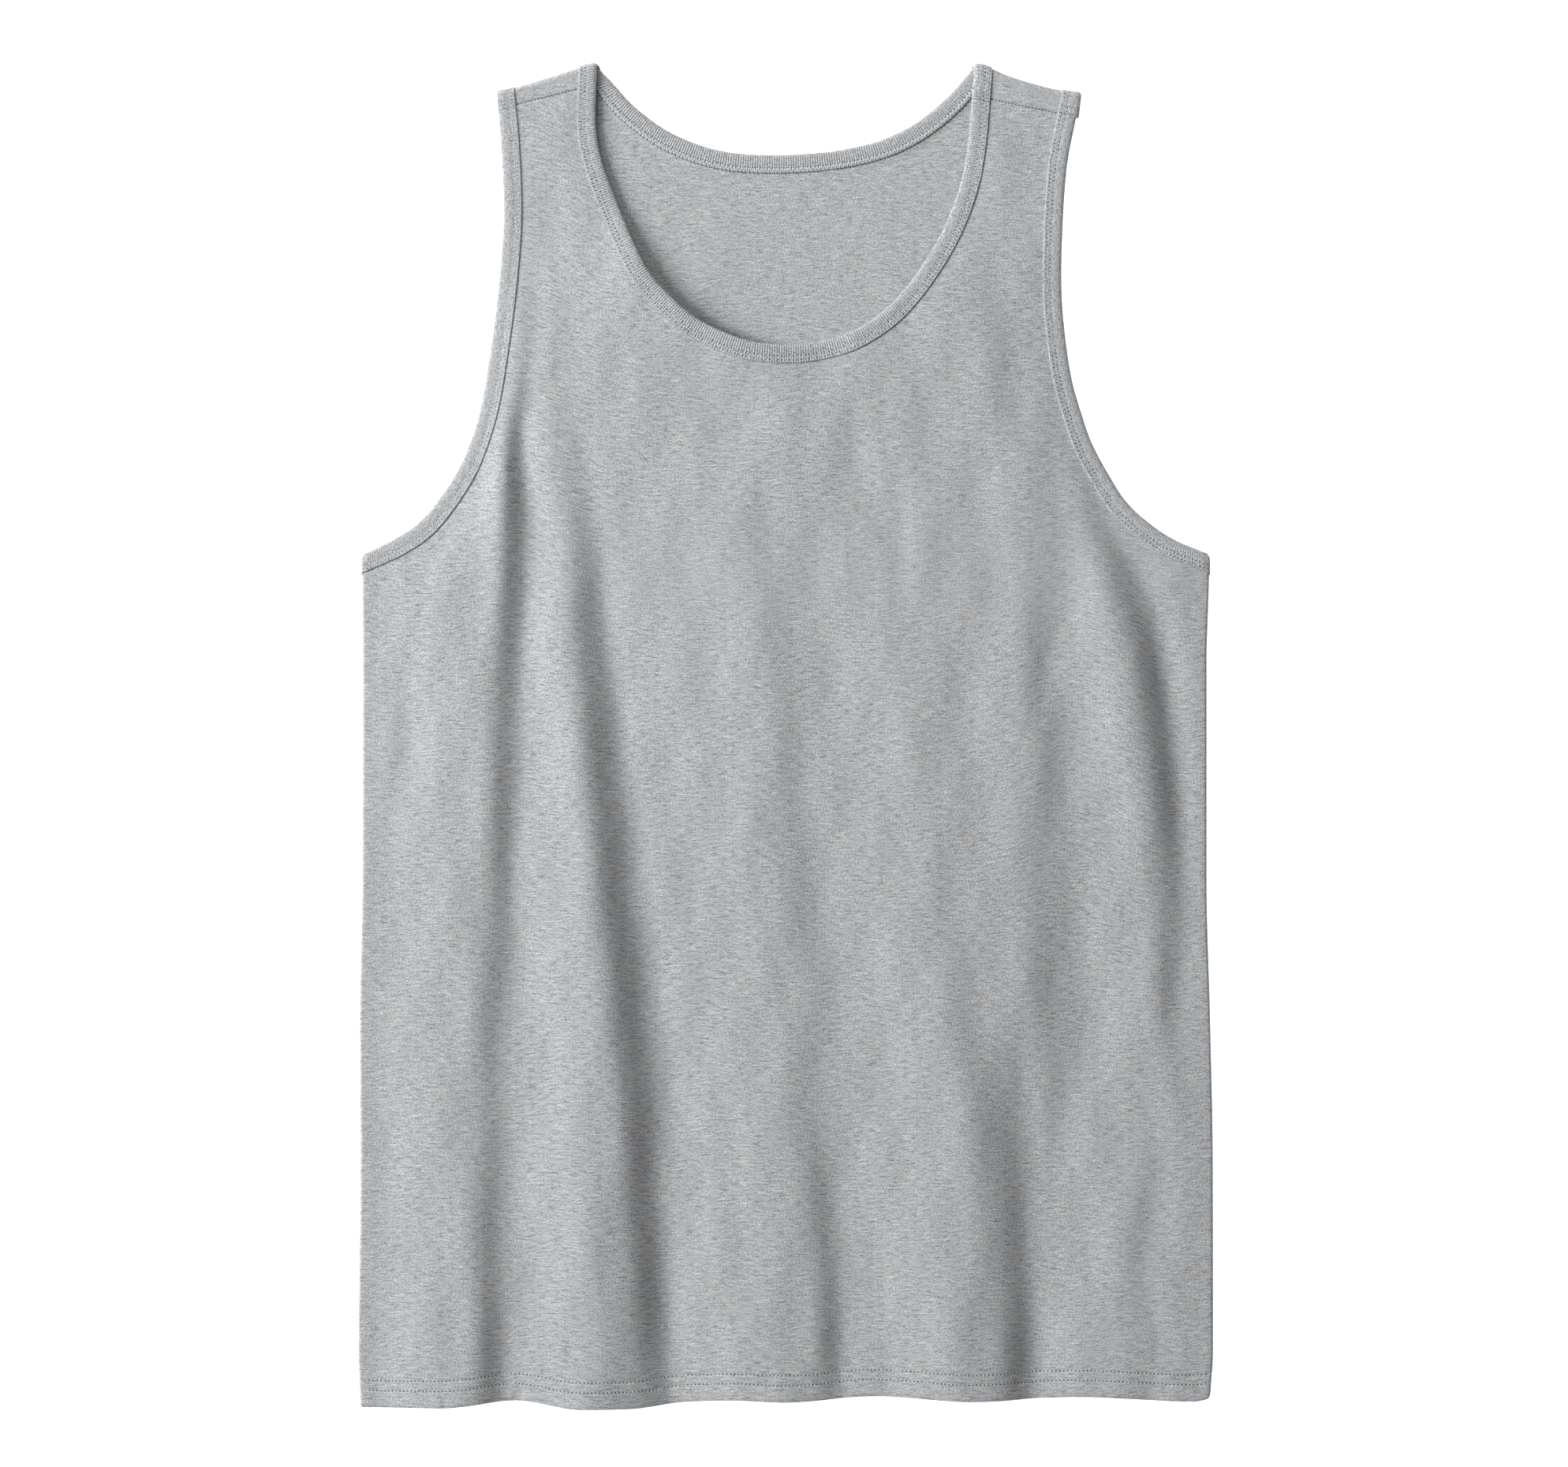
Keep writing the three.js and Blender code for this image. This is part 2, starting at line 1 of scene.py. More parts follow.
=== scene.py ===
"""A sleeveless tank top in heather grey jersey with rib bindings, laid flat with its front up.

The garment's own sizes are in millimetres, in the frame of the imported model, and its meshes are
made in metres. The cloth follows the same outline and folds as its solids, divided more finely.
"""

import math

import bpy
import numpy as np
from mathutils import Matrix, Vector


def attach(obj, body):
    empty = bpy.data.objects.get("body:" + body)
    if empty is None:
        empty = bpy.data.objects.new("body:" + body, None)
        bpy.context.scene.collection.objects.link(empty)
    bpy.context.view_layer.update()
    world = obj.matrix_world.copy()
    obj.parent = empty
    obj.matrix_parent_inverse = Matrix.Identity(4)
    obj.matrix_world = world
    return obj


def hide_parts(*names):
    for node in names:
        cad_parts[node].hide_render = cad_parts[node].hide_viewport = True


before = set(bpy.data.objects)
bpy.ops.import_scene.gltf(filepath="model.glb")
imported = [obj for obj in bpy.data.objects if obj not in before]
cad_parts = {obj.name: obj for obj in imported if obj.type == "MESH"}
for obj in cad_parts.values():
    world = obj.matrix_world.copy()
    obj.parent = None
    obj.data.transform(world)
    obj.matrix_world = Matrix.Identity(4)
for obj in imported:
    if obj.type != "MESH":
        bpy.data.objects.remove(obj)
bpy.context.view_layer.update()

MM = 0.001

# The cloth's walls, measured from the middle surface of the solids
CLOTH_OUTER = 0.6
CLOTH_INNER = 0.3
HEM_DEPTH = 15.0
HEM_TURN_UP = 0.6
HEM_ROUNDING, HEM_ROUNDING_HEIGHT = 0.5, 1.2
STITCH_GROOVE, STITCH_GROOVE_HALF = 0.2, 0.55
PUCKER_HEIGHT, PUCKER_EASE = 0.07, 5.0
HEM_WAVE_HEIGHT = 120.0
FOLD_RADIUS = 2.2
BACK_LEVEL = 0.6
FOLD_LEVEL = BACK_LEVEL + FOLD_RADIUS
FRONT_LEVEL = BACK_LEVEL + 2 * FOLD_RADIUS
FOLD_INSET = FOLD_RADIUS + 0.6
SIDE_SHARPNESS = 1.0  # half width of the side folds in the plan
SIDE_INSET = SIDE_SHARPNESS + 0.6
CHEST_RISE = 4.5
CHEST_EASE = 45.0
RELIEF_EASE = 30.0
STRAP_START = 240.0
STRAP_EASE = 60.0
STRAP_FALL = 0.85  # the share of the chest's rise that the straps lose
BODY_START = 0.0
BODY_EASE = 130.0
BODY_FALL = 0.65  # the share that the lower body loses
ARMPIT_MIDDLE_Y = 100.0
ARMPIT_EASE = 150.0  # over this height the rows bend down to the bindings at the sides
END_TURN_LENGTH = 24.0

# The bindings
BINDING_WIDTH = 10.5
TUCKED_IN = 6.0  # from an opening's edge to the panel's edge inside the folded binding
RIB_PITCH = 1.32
NECK_RIB_DEPTH = 0.34
ARM_RIB_DEPTH = 0.20
RIB_PROFILE = np.array([0.0, 0.3, 1.0, 0.3])  # depth at the stations of one rib
NEEDLE_ROWS = (6.4, 8.8)  # from the opening's edge
LOOPER_ROWS = (7.3, 10.3)
BACK_LIFT, BACK_LIFT_EASE = 0.4, 3.0  # how far the back's edge rises inside its binding

# Sewing
STITCH_PITCH = 2.2
STITCH_LENGTH = 1.55
STITCH_SLANT = 0.12
THREAD_RADIUS = 0.26
LOOPER_RADIUS = 0.36
HOLE_DEPTH = 0.3
HEM_ROWS = (9.5, 15.0)  # above the hem's edge
HEM_ROW_END = 234.5  # how far out they reach
FRONT_HEM_SUNK, BACK_HEM_SUNK = 0.1, 0.36  # how deep they lie in the cloth
SHOULDER_SEAM_SUNK = 0.3
# Half lengths and half widths of the discs of painted shade in the needle holes, here and in the
# next lines. Those at the left face the light.
HOLES = {"neck": (0.42, 0.36), "armhole_left": (0.32, 0.26), "armhole_right": (0.44, 0.40)}
HEM_HOLE = (0.42, 0.34)
LOOPER_HOLES = ((0.40, 0.28), (0.52, 0.36))
JOIN_STITCHES = {"hole": (0.28, 0.24), "pitch": 1.4, "length": 0.95}
# In the join seams and the shoulder seams the holes are long thin discs of painted shade along the
# seam
JOIN_SEAM = {"hole": (0.62, 0.20), "pitch": 1.2, "length": 0.5, "sunk": 0.15}
SHOULDER_BITES = {"hole": (0.6, 0.22), "pitch": 1.9, "length": 0.9, "sunk": 0.2}
# Where the ends of each binding are sewn together, in the plan: x, and the heights of its rows of
# stitches and of the seam between the ends
JOINS = {
    "neck": (109, (356.2, 358.4), 354.6),
    "armhole_left": (-155, (354.8, 353.2), 350.6),
    "armhole_right": (158, (351.0,), 347.2),
}
SEAM_GAP = 0.1
SIDE_SEAM_TURN = math.degrees(SEAM_GAP / 2 / FOLD_RADIUS)

# How finely the cloth is divided
FRONT_GRID = {"columns": 84, "body_rows": 138, "arm_rows": 84, "neck_rows": 54}
BACK_GRID = {"columns": 46, "body_rows": 70, "arm_rows": 46, "neck_rows": 24}
HEM_HEIGHTS = [0.0, 0.25, 0.7, 1.4, 2.4, 3.6, 5.0, 6.4, 7.6, 8.6, 9.2, 9.5, 9.8, 10.4, 11.4,
               12.4, 13.4, 14.2, 14.7, 15.0, 15.3, 15.9, 17.0, 18.5, 20.5]
CURVE_SAMPLES = 80  # of each stretch between two points of an outline
LINE_STEP = 0.25


def columns_of(rows):
    """The columns of a short table of numbers."""
    return [np.array(column, float) for column in zip(*rows)]


def unit(vectors):
    return vectors / np.linalg.norm(vectors, axis=-1, keepdims=True)


def distances_along(line):
    steps = np.linalg.norm(np.diff(line, axis=0), axis=1)
    return np.concatenate([[0], np.cumsum(steps)])


# Outline in the plan, the same as the solids' but for the rounded corner at the hem's right end:
# y, left x, right x
SIDES = columns_of([
    (-372, -237.8, 231.5),
    (-370.9, -237.8, 234.5),
    (-369.9, -237.8, 236.4),
    (-367.5, -237.9, 237.3),
    (-360, -238.2, 237.9),
    (-345, -238.8, 238.8),
    (-240, -237.6, 238.7),
    (-160, -238.0, 237.2),
    (-80, -236.6, 235.2),
    (40, -236.3, 235.2),
    (94, -236.6, 236.6),
])
# x, y
FRONT_HEM = columns_of([
    (-238, -374.9), (-194, -374.9), (-150, -371.0), (-115, -375.6), (-88, -375.4),
    (-53, -371.8), (-27, -370.9), (0, -371.8), (52, -368.7), (105, -371.4),
    (165, -369.2), (228, -371.8), (238, -371.0),
])
BACK_HEM = columns_of([
    (-238, -374.6), (-190, -373.2), (-140, -369.6), (0, -367.6), (140, -367.8), (238, -370.6),
])
SHOULDERS = columns_of([
    (-162, 360.3), (-145, 363.9), (-131, 368.3), (-117, 372.7), (-107, 375.45),
    (-103, 374.8), (103, 374.6), (107, 375.2), (123, 369.2), (134, 365.6),
    (152, 361.0), (165, 359.4),
])
LEFT_ARMHOLE = [
    (-233.8, 102.2), (-216.0, 111.3), (-203.7, 120.1), (-189.6, 137.7), (-179.5, 155.3),
    (-170.7, 181.7), (-164.6, 216.9), (-160.2, 252.1), (-157.6, 290.0), (-158.8, 327.0),
    (-161.4, 357.5),
]
RIGHT_ARMHOLE = [
    (233.8, 102.4), (213.8, 111.3), (191.8, 128.9), (180.0, 146.5), (170.7, 164.1),
    (164.6, 181.7), (159.7, 199.3), (154.9, 234.5), (154.0, 262.0), (157.1, 318.0),
    (161.8, 343.0), (164.4, 356.7),
]
FRONT_NECK = [
    (-105.4, 372.6), (-105.7, 339.2), (-102.5, 321.2), (-95.7, 302.3), (-85.6, 277.6),
    (-76.6, 259.6), (-66.4, 247.3), (-50.8, 233.6), (-33.9, 224.8), (-17.2, 219.6),
    (1.8, 218.2), (18.5, 220.0), (35.4, 225.0), (52.4, 235.4), (64.7, 247.3),
    (75.7, 261.8), (84.9, 276.8), (91.5, 290.8), (98.1, 310.2), (101.6, 330.4),
    (105.2, 372.2),
]
BACK_NECK = [
    (-103.4, 372.0), (-95.0, 363.0), (-86.2, 353.3), (-68.6, 339.7), (-51.0, 331.3),
    (-33.4, 326.5), (-11.0, 324.7), (19.4, 326.0), (37.0, 328.7), (54.6, 333.5),
    (72.2, 342.3), (89.8, 356.4), (103.6, 371.9),
]
ARMPIT_Y = {"left": 99.9, "right": 100.2}
SEAM_Y = {"left": (349.8, 363.4), "right": (345.4, 357.6)}  # at the armhole and at the neck
SWELL = {"left": 0.0, "right": 1.5}  # of a binding's joined ends, above the shoulder seam
TOP_SWELL = 0.4  # the share of it that is left at the shoulder fold

# Folds down the front, left to right, as the solids have them: x and rise at each height
FOLD_HEIGHTS = [-373, -240, -140, -50, 40, 110, 190]
FOLDS = [
    # outer left crest
    ([-181, -181, -178, -172, -167, -161, -158], [6.0, 4.9, 4.7, 4.2, 3.6, 2.0, 0]),
    # outer left trough
    ([-149, -150, -149, -147, -145, -143, -146], [-0.4, 1.0, 0.9, 0.4, -0.6, -1.6, 0]),
    # left crest
    ([-108, -108, -111, -114, -120, -124, -129], [7.4, 9.0, 7.6, 5.6, 3.2, 1.2, 0]),
    # left trough
    ([-64, -60, -66, -80, -94, -102, -113], [-1.8, -1.8, -1.8, -1.8, -1.8, -1.6, 0]),
    # middle crest
    ([-3, -3, -6, -10, -15, -22, -32], [4.0, 3.4, 2.8, 3.4, 3.6, 2.2, 0]),
    # middle trough
    ([42, 34, 27, 22, 20, 22, 8], [-1.8, -0.9, 0.6, 1.2, 1.6, 1.4, 0]),
    # right crest
    ([97, 103, 89, 77, 71, 66, 62], [5.8, 6.0, 5.5, 4.8, 3.8, 2.4, 0]),
    # right trough
    ([141, 130, 111, 101, 106, 110, 112], [-1.8, -0.6, 3.8, 3.8, 2.2, 1.2, 0]),
    # short right crest
    ([153, 148, 134, 129, 130, 131, 129], [-1.5, -1.1, 3.4, 4.6, 3.2, 2.2, 0]),
    # outer right trough
    ([165, 168, 167, 164, 159, 153, 146], [-0.4, -1.8, -0.7, 0.2, 0, -0.4, 0]),
    # outer right crest
    ([182, 204, 203, 194, 181, 170, 156], [0.3, -0.2, 1.6, 2.9, 2.5, 1.4, 0]),
    # right edge trough
    ([225, 224, 222, 220, 211, 190, 170], [-0.4, -0.4, -1.3, -1.6, -1.6, -1.2, 0]),
]
FOLD_LIMIT = 240.0

# Where a fold's right flank is steepest: its heights in the plan, its x there, how
# far the cloth steps down to the right (up where negative), and its half width
FLANKS = [
    # left fold, from the armhole to the hem
    ([-375, -337, -293, -250, -161, -117, -73, -29, 60, 94, 129, 164, 199, 235, 275],
     [-165, -165, -165, -165, -164, -160, -158, -157, -154, -152, -152, -153, -150, -147, -146],
     [0.9, 1.1, 1.0, 0.65, 0.4, 0.8, 1.0, 0.95, 1.1, 1.5, 2.8, 4.2, 2.6, 1.9, 0.0], 7.5),
    # second fold
    ([-375, -337, -293, -205, -161, -117, -73, -29, 15, 59, 94, 129, 164, 200],
     [-73, -74, -77, -82, -86, -91, -97, -102, -107, -110, -113, -116, -121, -124],
     [1.4, 1.7, 1.95, 1.9, 1.8, 2.4, 2.1, 2.0, 1.5, 1.3, 1.2, 1.1, 0.6, 0.0], 10.0),
    # middle fold
    ([-375, -337, -293, -205, -117, -29, 15, 70],
     [24, 24, 24, 15, 10, 2, 0, 4],
     [0.8, 1.05, 0.85, 0.3, 0.15, 0.3, 0.3, 0.0], 7.5),
    # right fold
    ([-375, -337, -293, -249, -205, -150],
     [131, 131, 131, 130, 129, 130],
     [1.5, 2.1, 1.8, 1.0, 0.9, 0.0], 9.5),
    ([-330, -293, -249, -205, -161], [147, 147, 147, 148, 148], [0.0, 0.45, 0.55, 0.45, 0.0], 7.0),
    # above it
    ([-110, -73, -29, 15, 59], [144, 143, 143, 143, 144], [0.0, 0.35, 0.35, 0.3, 0.0], 8.0),
    # slanting fold from the right armhole to the side
    ([-205, -161, -117, -73, -29, 15, 59, 94, 129],
     [222, 223, 224, 221, 214, 208, 198.5, 189, 178],
     [0.0, 0.1, 1.8, 2.7, 2.7, 2.35, 2.2, 0.95, 0.0], 10.0),
    # the crest left of the middle fold
    ([-161, -117, -73, -29, 15, 59, 94, 150],
     [-20, -22, -24, -26, -28, -31, -33, -34],
     [0.0, -0.2, -0.35, -0.45, -0.5, -0.4, -0.4, 0.0], 10.0),
    # the right edge lies flatter than the solid's
    ([-375, -337, -293, -249, -205, -161, -130],
     [215, 216, 216, 216, 214, 207, 206],
     [-0.6, -0.8, -0.8, -0.8, -0.8, -0.6, 0.0], 12.0),
    # so does the left edge
    ([-161, -117, -73, -29, 15, 59, 94],
     [-218, -218, -218, -218, -216, -210, -206],
     [0.0, 0.5, 0.9, 1.0, 0.9, 0.5, 0.0], 12.0),
    # beside the armholes
    ([60, 94, 130, 164, 199, 235, 300],
     [-137, -137, -137, -136, -135, -134, -132],
     [0.0, 0.5, 1.3, 2.0, 1.8, 1.1, 0.0], 12.0),
    ([100, 130, 164, 199, 235, 300],
     [146, 144, 142, 138, 136, 132],
     [0.0, -0.3, -0.9, -0.9, -0.9, 0.0], 12.0),
    # below the neckline
    ([150, 180, 215], [8, 9, 12], [0.0, 0.35, 0.1], 6.0),
]

# Soft creases: (start), (end), half width, height. A trough's height is negative.
FRONT_CREASES = [
    ((-199, 100), (-216, 20), 7.0, -0.9),
    ((-216, 20), (-223, -115), 8.0, -1.2),
    ((37, 200), (52, 110), 7.0, -0.7),
    ((60, 150), (66, 40), 6.0, -0.6),
    ((200, -250), (208, -340), 7.0, -0.9),
    ((-20, -60), (4, -150), 6.0, -0.6),
    ((-46, -200), (-30, -300), 8.0, 0.7),
    ((-150, 180), (-138, 90), 7.0, -0.7),
    ((150, 60), (132, -40), 7.0, -0.6),
    ((-88, 200), (-70, 120), 9.0, 0.5),
    ((-88, 285), (-10, 205), 24.0, 3.2),
    ((4, 210), (8, 120), 38.0, 1.6),
    ((156, -120), (154, -375), 27.0, -1.4),
    ((117, 369), (119, 357), 2.4, -1.0),
    ((126, 362), (130, 350), 2.6, -0.4),
    ((143, 361), (146, 348), 3.6, -0.9),
    ((149, 358), (151, 348), 2.4, 0.6),
    ((-152, -363), (-152, -371), 1.8, 0.6),
    ((-149.2, -363), (-149.2, -371), 1.8, -1.0),
]
BACK_CREASES = [
    ((-160, 60), (-150, -330), 12.0, 1.0),
    ((-82, 20), (-60, -350), 14.0, 1.2),
    ((30, 90), (12, -300), 13.0, 1.1),
    ((96, 10), (120, -352), 14.0, 1.3),
    ((178, 70), (190, -280), 11.0, 0.9),
    ((-40, 290), (-58, 190), 10.0, 0.5),
    ((52, 300), (60, 210), 9.0, 0.4),
]

# The binding's closed section: distance from the opening's edge, height out of the garment on the
# front and on the back layer, and how deep its ribs are. The panel's edge lies in the slot.
SECTION = columns_of([
    (10.50, 0.62, 0.24, 0.0),
    (10.46, 1.20, 0.40, 0.6),
    (10.10, 1.50, 0.56, 1.0),
    (9.40, 1.52, 0.58, 1.0),
    (8.80, 1.26, 0.34, 0.6),
    (8.20, 1.46, 0.56, 1.0),
    (7.00, 1.46, 0.56, 1.0),
    (6.40, 1.26, 0.34, 0.6),
    (5.80, 1.50, 0.58, 1.0),
    (4.00, 1.56, 0.60, 1.0),
    (2.20, 1.48, 0.56, 1.0),
    (0.95, 1.20, 0.46, 1.0),
    (0.28, 0.70, 0.20, 0.9),
    (0.00, 0.10, -0.50, 0.6),
    (0.28, -0.45, -1.10, 0.9),
    (0.95, -0.86, -1.52, 1.0),
    (2.20, -1.04, -1.72, 1.0),
    (4.00, -1.06, -1.76, 1.0),
    (6.00, -1.06, -1.72, 1.0),
    (6.60, -0.98, -1.56, 0.8),
    (7.30, -1.04, -1.62, 1.0),
    (8.40, -1.04, -1.60, 1.0),
    (9.00, -0.96, -1.46, 0.8),
    (9.60, -1.00, -1.50, 1.0),
    (10.30, -0.92, -1.26, 0.8),
    (10.50, -0.36, -0.76, 0.0),
    (1.60, -0.32, -0.72, 0.0),
    (1.60, 0.60, 0.20, 0.0),
])
EDGE_ROW = 13  # the section's row at the opening's edge
INNER_END = 25  # the section's rows after this lie in the slot


def ease(t):
    t = np.clip(t, 0, 1)
    return t * t * (3 - 2 * t)


def through_points(xs, ys, x):
    """The values at x of smooth lines that don't overshoot. Each x has its own column of points."""
    xs = np.broadcast_to(xs, (len(xs), len(x)))
    ys = np.broadcast_to(ys, (len(ys), len(x)))
    steep = np.diff(ys, axis=0) / np.diff(xs, axis=0)
    product = steep[:-1] * steep[1:]
    total = np.where(product > 0, steep[:-1] + steep[1:], 1)
    flat = np.zeros((1, len(x)))
    slopes = np.concatenate([flat, np.where(product > 0, 2 * product / total, 0), flat])
    x = np.clip(x, xs[0], xs[-1])
    before = np.clip((xs <= x).sum(axis=0) - 1, 0, len(xs) - 2)[None]

    def at(values, step):
        return np.take_along_axis(values, before + step, axis=0)[0]

    span = at(xs, 1) - at(xs, 0)
    t = (x - at(xs, 0)) / span
    start = at(slopes, 0) * span * t * (1 - t) ** 2
    end = at(slopes, 1) * span * t * t * (1 - t)
    return at(ys, 0) + (at(ys, 1) - at(ys, 0)) * ease(t) + start - end


def smooth_line(xs, ys):
    """A smooth line through points, kept as a dense table."""
    xs = np.array(xs, float)
    ys = np.array(ys, float)
    dense = np.linspace(xs[0], xs[-1], int((xs[-1] - xs[0]) / LINE_STEP) + 2)
    values = through_points(xs[:, None], ys[:, None], dense)
    return lambda x: np.interp(np.atleast_1d(x), dense, values)


left_side_x = smooth_line(SIDES[0], SIDES[1])
right_side_x = smooth_line(SIDES[0], SIDES[2])
front_hem_y = smooth_line(*FRONT_HEM)
back_hem_y = smooth_line(*BACK_HEM)
shoulder_y = smooth_line(*SHOULDERS)


class Curve:
    """A centripetal Catmull-Rom curve through points in the plan, by distance along it."""

    def __init__(self, rows):
        points = np.array(rows, float)
        first = 2 * points[0] - points[1]
        last = 2 * points[-1] - points[-2]
        padded = np.vstack([first, points, last])
        t = np.linspace(0, 1, CURVE_SAMPLES, endpoint=False)[:, None]
        stretches = [self.stretch(*padded[i:i + 4], t) for i in range(len(points) - 1)]
        self.points = np.vstack([*stretches, points[-1:]])
        self.distances = distances_along(self.points)
        self.length = self.distances[-1]

    @staticmethod
    def stretch(a, b, c, d, t):
        before, across, after = (np.linalg.norm(q - p) ** 0.5 for p, q in ((a, b), (b, c), (c, d)))
        leave = (b - a) / before - (c - a) / (before + across) + (c - b) / across
        arrive = (c - b) / across - (d - b) / (across + after) + (d - c) / after
        leave, arrive = leave * across, arrive * across
        cubic = 2 * b - 2 * c + leave + arrive
        square = -3 * b + 3 * c - 2 * leave - arrive
        return b + leave * t + square * t ** 2 + cubic * t ** 3

    def at(self, distance):
        return np.stack([np.interp(distance, self.distances, axis) for axis in self.points.T], -1)

    def direction(self, distance):
        step = 0.05
        return unit(self.at(distance + step) - self.at(distance - step))

    def where(self, axis, value, start, end):
        """The distance between two others where a coordinate passes a value."""
        distances = np.linspace(start, end, 4000)
        values = self.at(distances)[:, axis] - value
        i = np.flatnonzero(np.sign(values[:-1]) != np.sign(values[1:]))[0]
        share = values[i] / (values[i] - values[i + 1])
        return distances[i] + (distances[i + 1] - distances[i]) * share


def distance_to(lines, x, y):
    """From places in the plan to the nearest of some lines of straight pieces."""
    nearest = np.full(len(x), np.inf)
    place = np.stack([x, y], -1)[:, None]
    for line in lines:
        start, run = line[:-1], np.diff(line, axis=0)
        along = ((place - start) * run).sum(-1) / (run * run).sum(-1)
        foot = start + run * np.clip(along, 0, 1)[..., None]
        nearest = np.minimum(nearest, np.linalg.norm(place - foot, axis=-1).min(axis=1))
    return nearest


left_arm_curve = Curve(LEFT_ARMHOLE)
right_arm_curve = Curve(RIGHT_ARMHOLE)
front_neck_curve = Curve(FRONT_NECK)
back_neck_curve = Curve(BACK_NECK)


def coarse(curve, pieces=40):
    return curve.at(np.linspace(0, curve.length, pieces + 1))


def rim_of(curve, side_x, shoulder_xs):
    """Where the front meets the back: up a side, round the armhole and along the shoulder."""
    heights = np.array([-420.0, -240.0, -80.0, 40.0])
    side = np.stack([side_x(heights), heights], -1)
    tops = np.array(shoulder_xs, float)
    return np.vstack([side, coarse(curve), np.stack([tops, shoulder_y(tops)], -1)])


rims = [
    rim_of(left_arm_curve, left_side_x, (-161, -133, -106)),
    rim_of(right_arm_curve, right_side_x, (164, 135, 106)),
]
back_openings = [coarse(curve) for curve in (left_arm_curve, right_arm_curve, back_neck_curve)]
fold_lines = [
    (smooth_line(FOLD_HEIGHTS, xs), smooth_line(FOLD_HEIGHTS, rises)) for xs, rises in FOLDS
]


def fold_relief(x, y):
    limit = np.full(len(x), FOLD_LIMIT)
    flat = np.zeros(len(x))
    xs = np.stack([-limit, *(line_x(y) for line_x, _ in fold_lines), limit])
    rises = np.stack([flat, *(rise(y) for _, rise in fold_lines), flat])
    return through_points(xs, rises, x)


flank_lines = [
    (smooth_line(heights, xs), smooth_line(heights, steps), half_width)
    for heights, xs, steps, half_width in FLANKS
]


def flank_relief(x, y):
    """Steps in the cloth along the folds' flanks, which level out on both sides."""
    total = np.zeros(len(x))
    for line_x, step, half_width in flank_lines:
        across = (x - line_x(y)) / half_width
        total -= step(y) * across * np.exp((1 - across ** 2) / 2)
    return total


def crease_relief(creases, x, y):
    """Soft troughs and ridges that fade out towards their ends."""
    total = np.zeros(len(x))
    for start, end, half_width, height in creases:
        run = np.subtract(end, start)
        length = np.hypot(*run)
        along = ((x - start[0]) * run[0] + (y - start[1]) * run[1]) / length
        across = ((x - start[0]) * run[1] - (y - start[1]) * run[0]) / length
        bend = half_width * 0.5 * np.sin(along / length * math.pi * 1.5 + start[0])
        fade = ease(along / length * 2.5 + 0.5) * ease((1 - along / length) * 2.5 + 0.5)
        total += height * fade * np.exp(-(((across - bend) / half_width) ** 2))
    return total


def unevenness(x, y):
    """The slight wander of a cloth that was smoothed by hand."""
    waves = [(61, 143, 0.4, 0.30), (37, -96, 1.9, 0.18), (88, 52, 4.1, 0.22), (24, 170, 2.7, 0.12)]
    return sum(
        height * np.sin(2 * math.pi * (x / across + y / along) + phase)
        for across, along, phase, height in waves
    )


def front_height(x, y):
    inward = distance_to(rims, x, y)
    relief = fold_relief(x, y) + flank_relief(x, y)
    relief += crease_relief(FRONT_CREASES, x, y) + unevenness(x, y)
    fall = STRAP_FALL * ease((y - STRAP_START) / STRAP_EASE)
    fall += BODY_FALL * ease((BODY_START - y) / BODY_EASE)
    rise = CHEST_RISE * (1 - fall)
    return FRONT_LEVEL + rise * ease(inward / CHEST_EASE) + relief * ease(inward / RELIEF_EASE)


def back_height(x, y):
    inward = distance_to(rims, x, y)
    return BACK_LEVEL + crease_relief(BACK_CREASES, x, y) * ease(inward / RELIEF_EASE)


class Placed:
    """Points of the middle surface with the normals out of the garment, their places on the flat
    cloth, and how far each wall stands from them."""

    FIELDS = ("points", "normals", "cloth", "outer", "inner")

    def __init__(self, points, normals, cloth, outer=None, inner=None):
        self.points = points
        self.normals = unit(normals)
        self.cloth = cloth
        self.outer = np.full(points.shape[:-1], CLOTH_OUTER) if outer is None else outer
        self.inner = np.full(points.shape[:-1], CLOTH_INNER) if inner is None else inner

    def part(self, which):
        return Placed(*(getattr(self, field)[which] for field in self.FIELDS))

    def shifted(self, inwards):
        self.outer = self.outer - inwards
        self.inner = self.inner + inwards
        return self

    def faces(self):
        outer = self.points + self.normals * self.outer[..., None]
        inner = self.points - self.normals * self.inner[..., None]
        return outer, inner


def on_surface(height, x, y, facing):
    """Places on the front or back layer, whose normals face up or down."""
    shape = x.shape
    x, y = x.ravel(), y.ravel()
    step = 0.5
    shifts = np.array([(0, 0), (step, 0), (-step, 0), (0, step), (0, -step)])
    around = np.stack([x, y], -1) + shifts[:, None]
    middle, east, west, north, south = height(*around.reshape(-1, 2).T).reshape(5, -1)
    slope_x = (east - west) / (2 * step)
    slope_y = (north - south) / (2 * step)
    points = np.stack([x, y, middle], -1).reshape(*shape, 3)
    normals = facing * np.stack([-slope_x, -slope_y, np.ones(len(x))], -1).reshape(*shape, 3)
    return Placed(points, normals, np.stack([x, y], -1).reshape(*shape, 2))


def on_front(x, y):
    return on_surface(front_height, x, y, 1)


def lift_in_binding(inward):
    """How far the back lies out of its place, that far from an opening."""
    return BACK_LIFT * ease((BINDING_WIDTH + BACK_LIFT_EASE - inward) / BACK_LIFT_EASE)


def front_share(turns):
    """Round a fold, from 0 on the back to 1 on the front."""
    return (1 + np.sin(np.radians(turns))) / 2


def on_back(x, y):
    placed = on_surface(back_height, x, y, -1)
    opening = distance_to(back_openings, x.ravel(), y.ravel()).reshape(x.shape)
    return placed.shifted(lift_in_binding(opening))


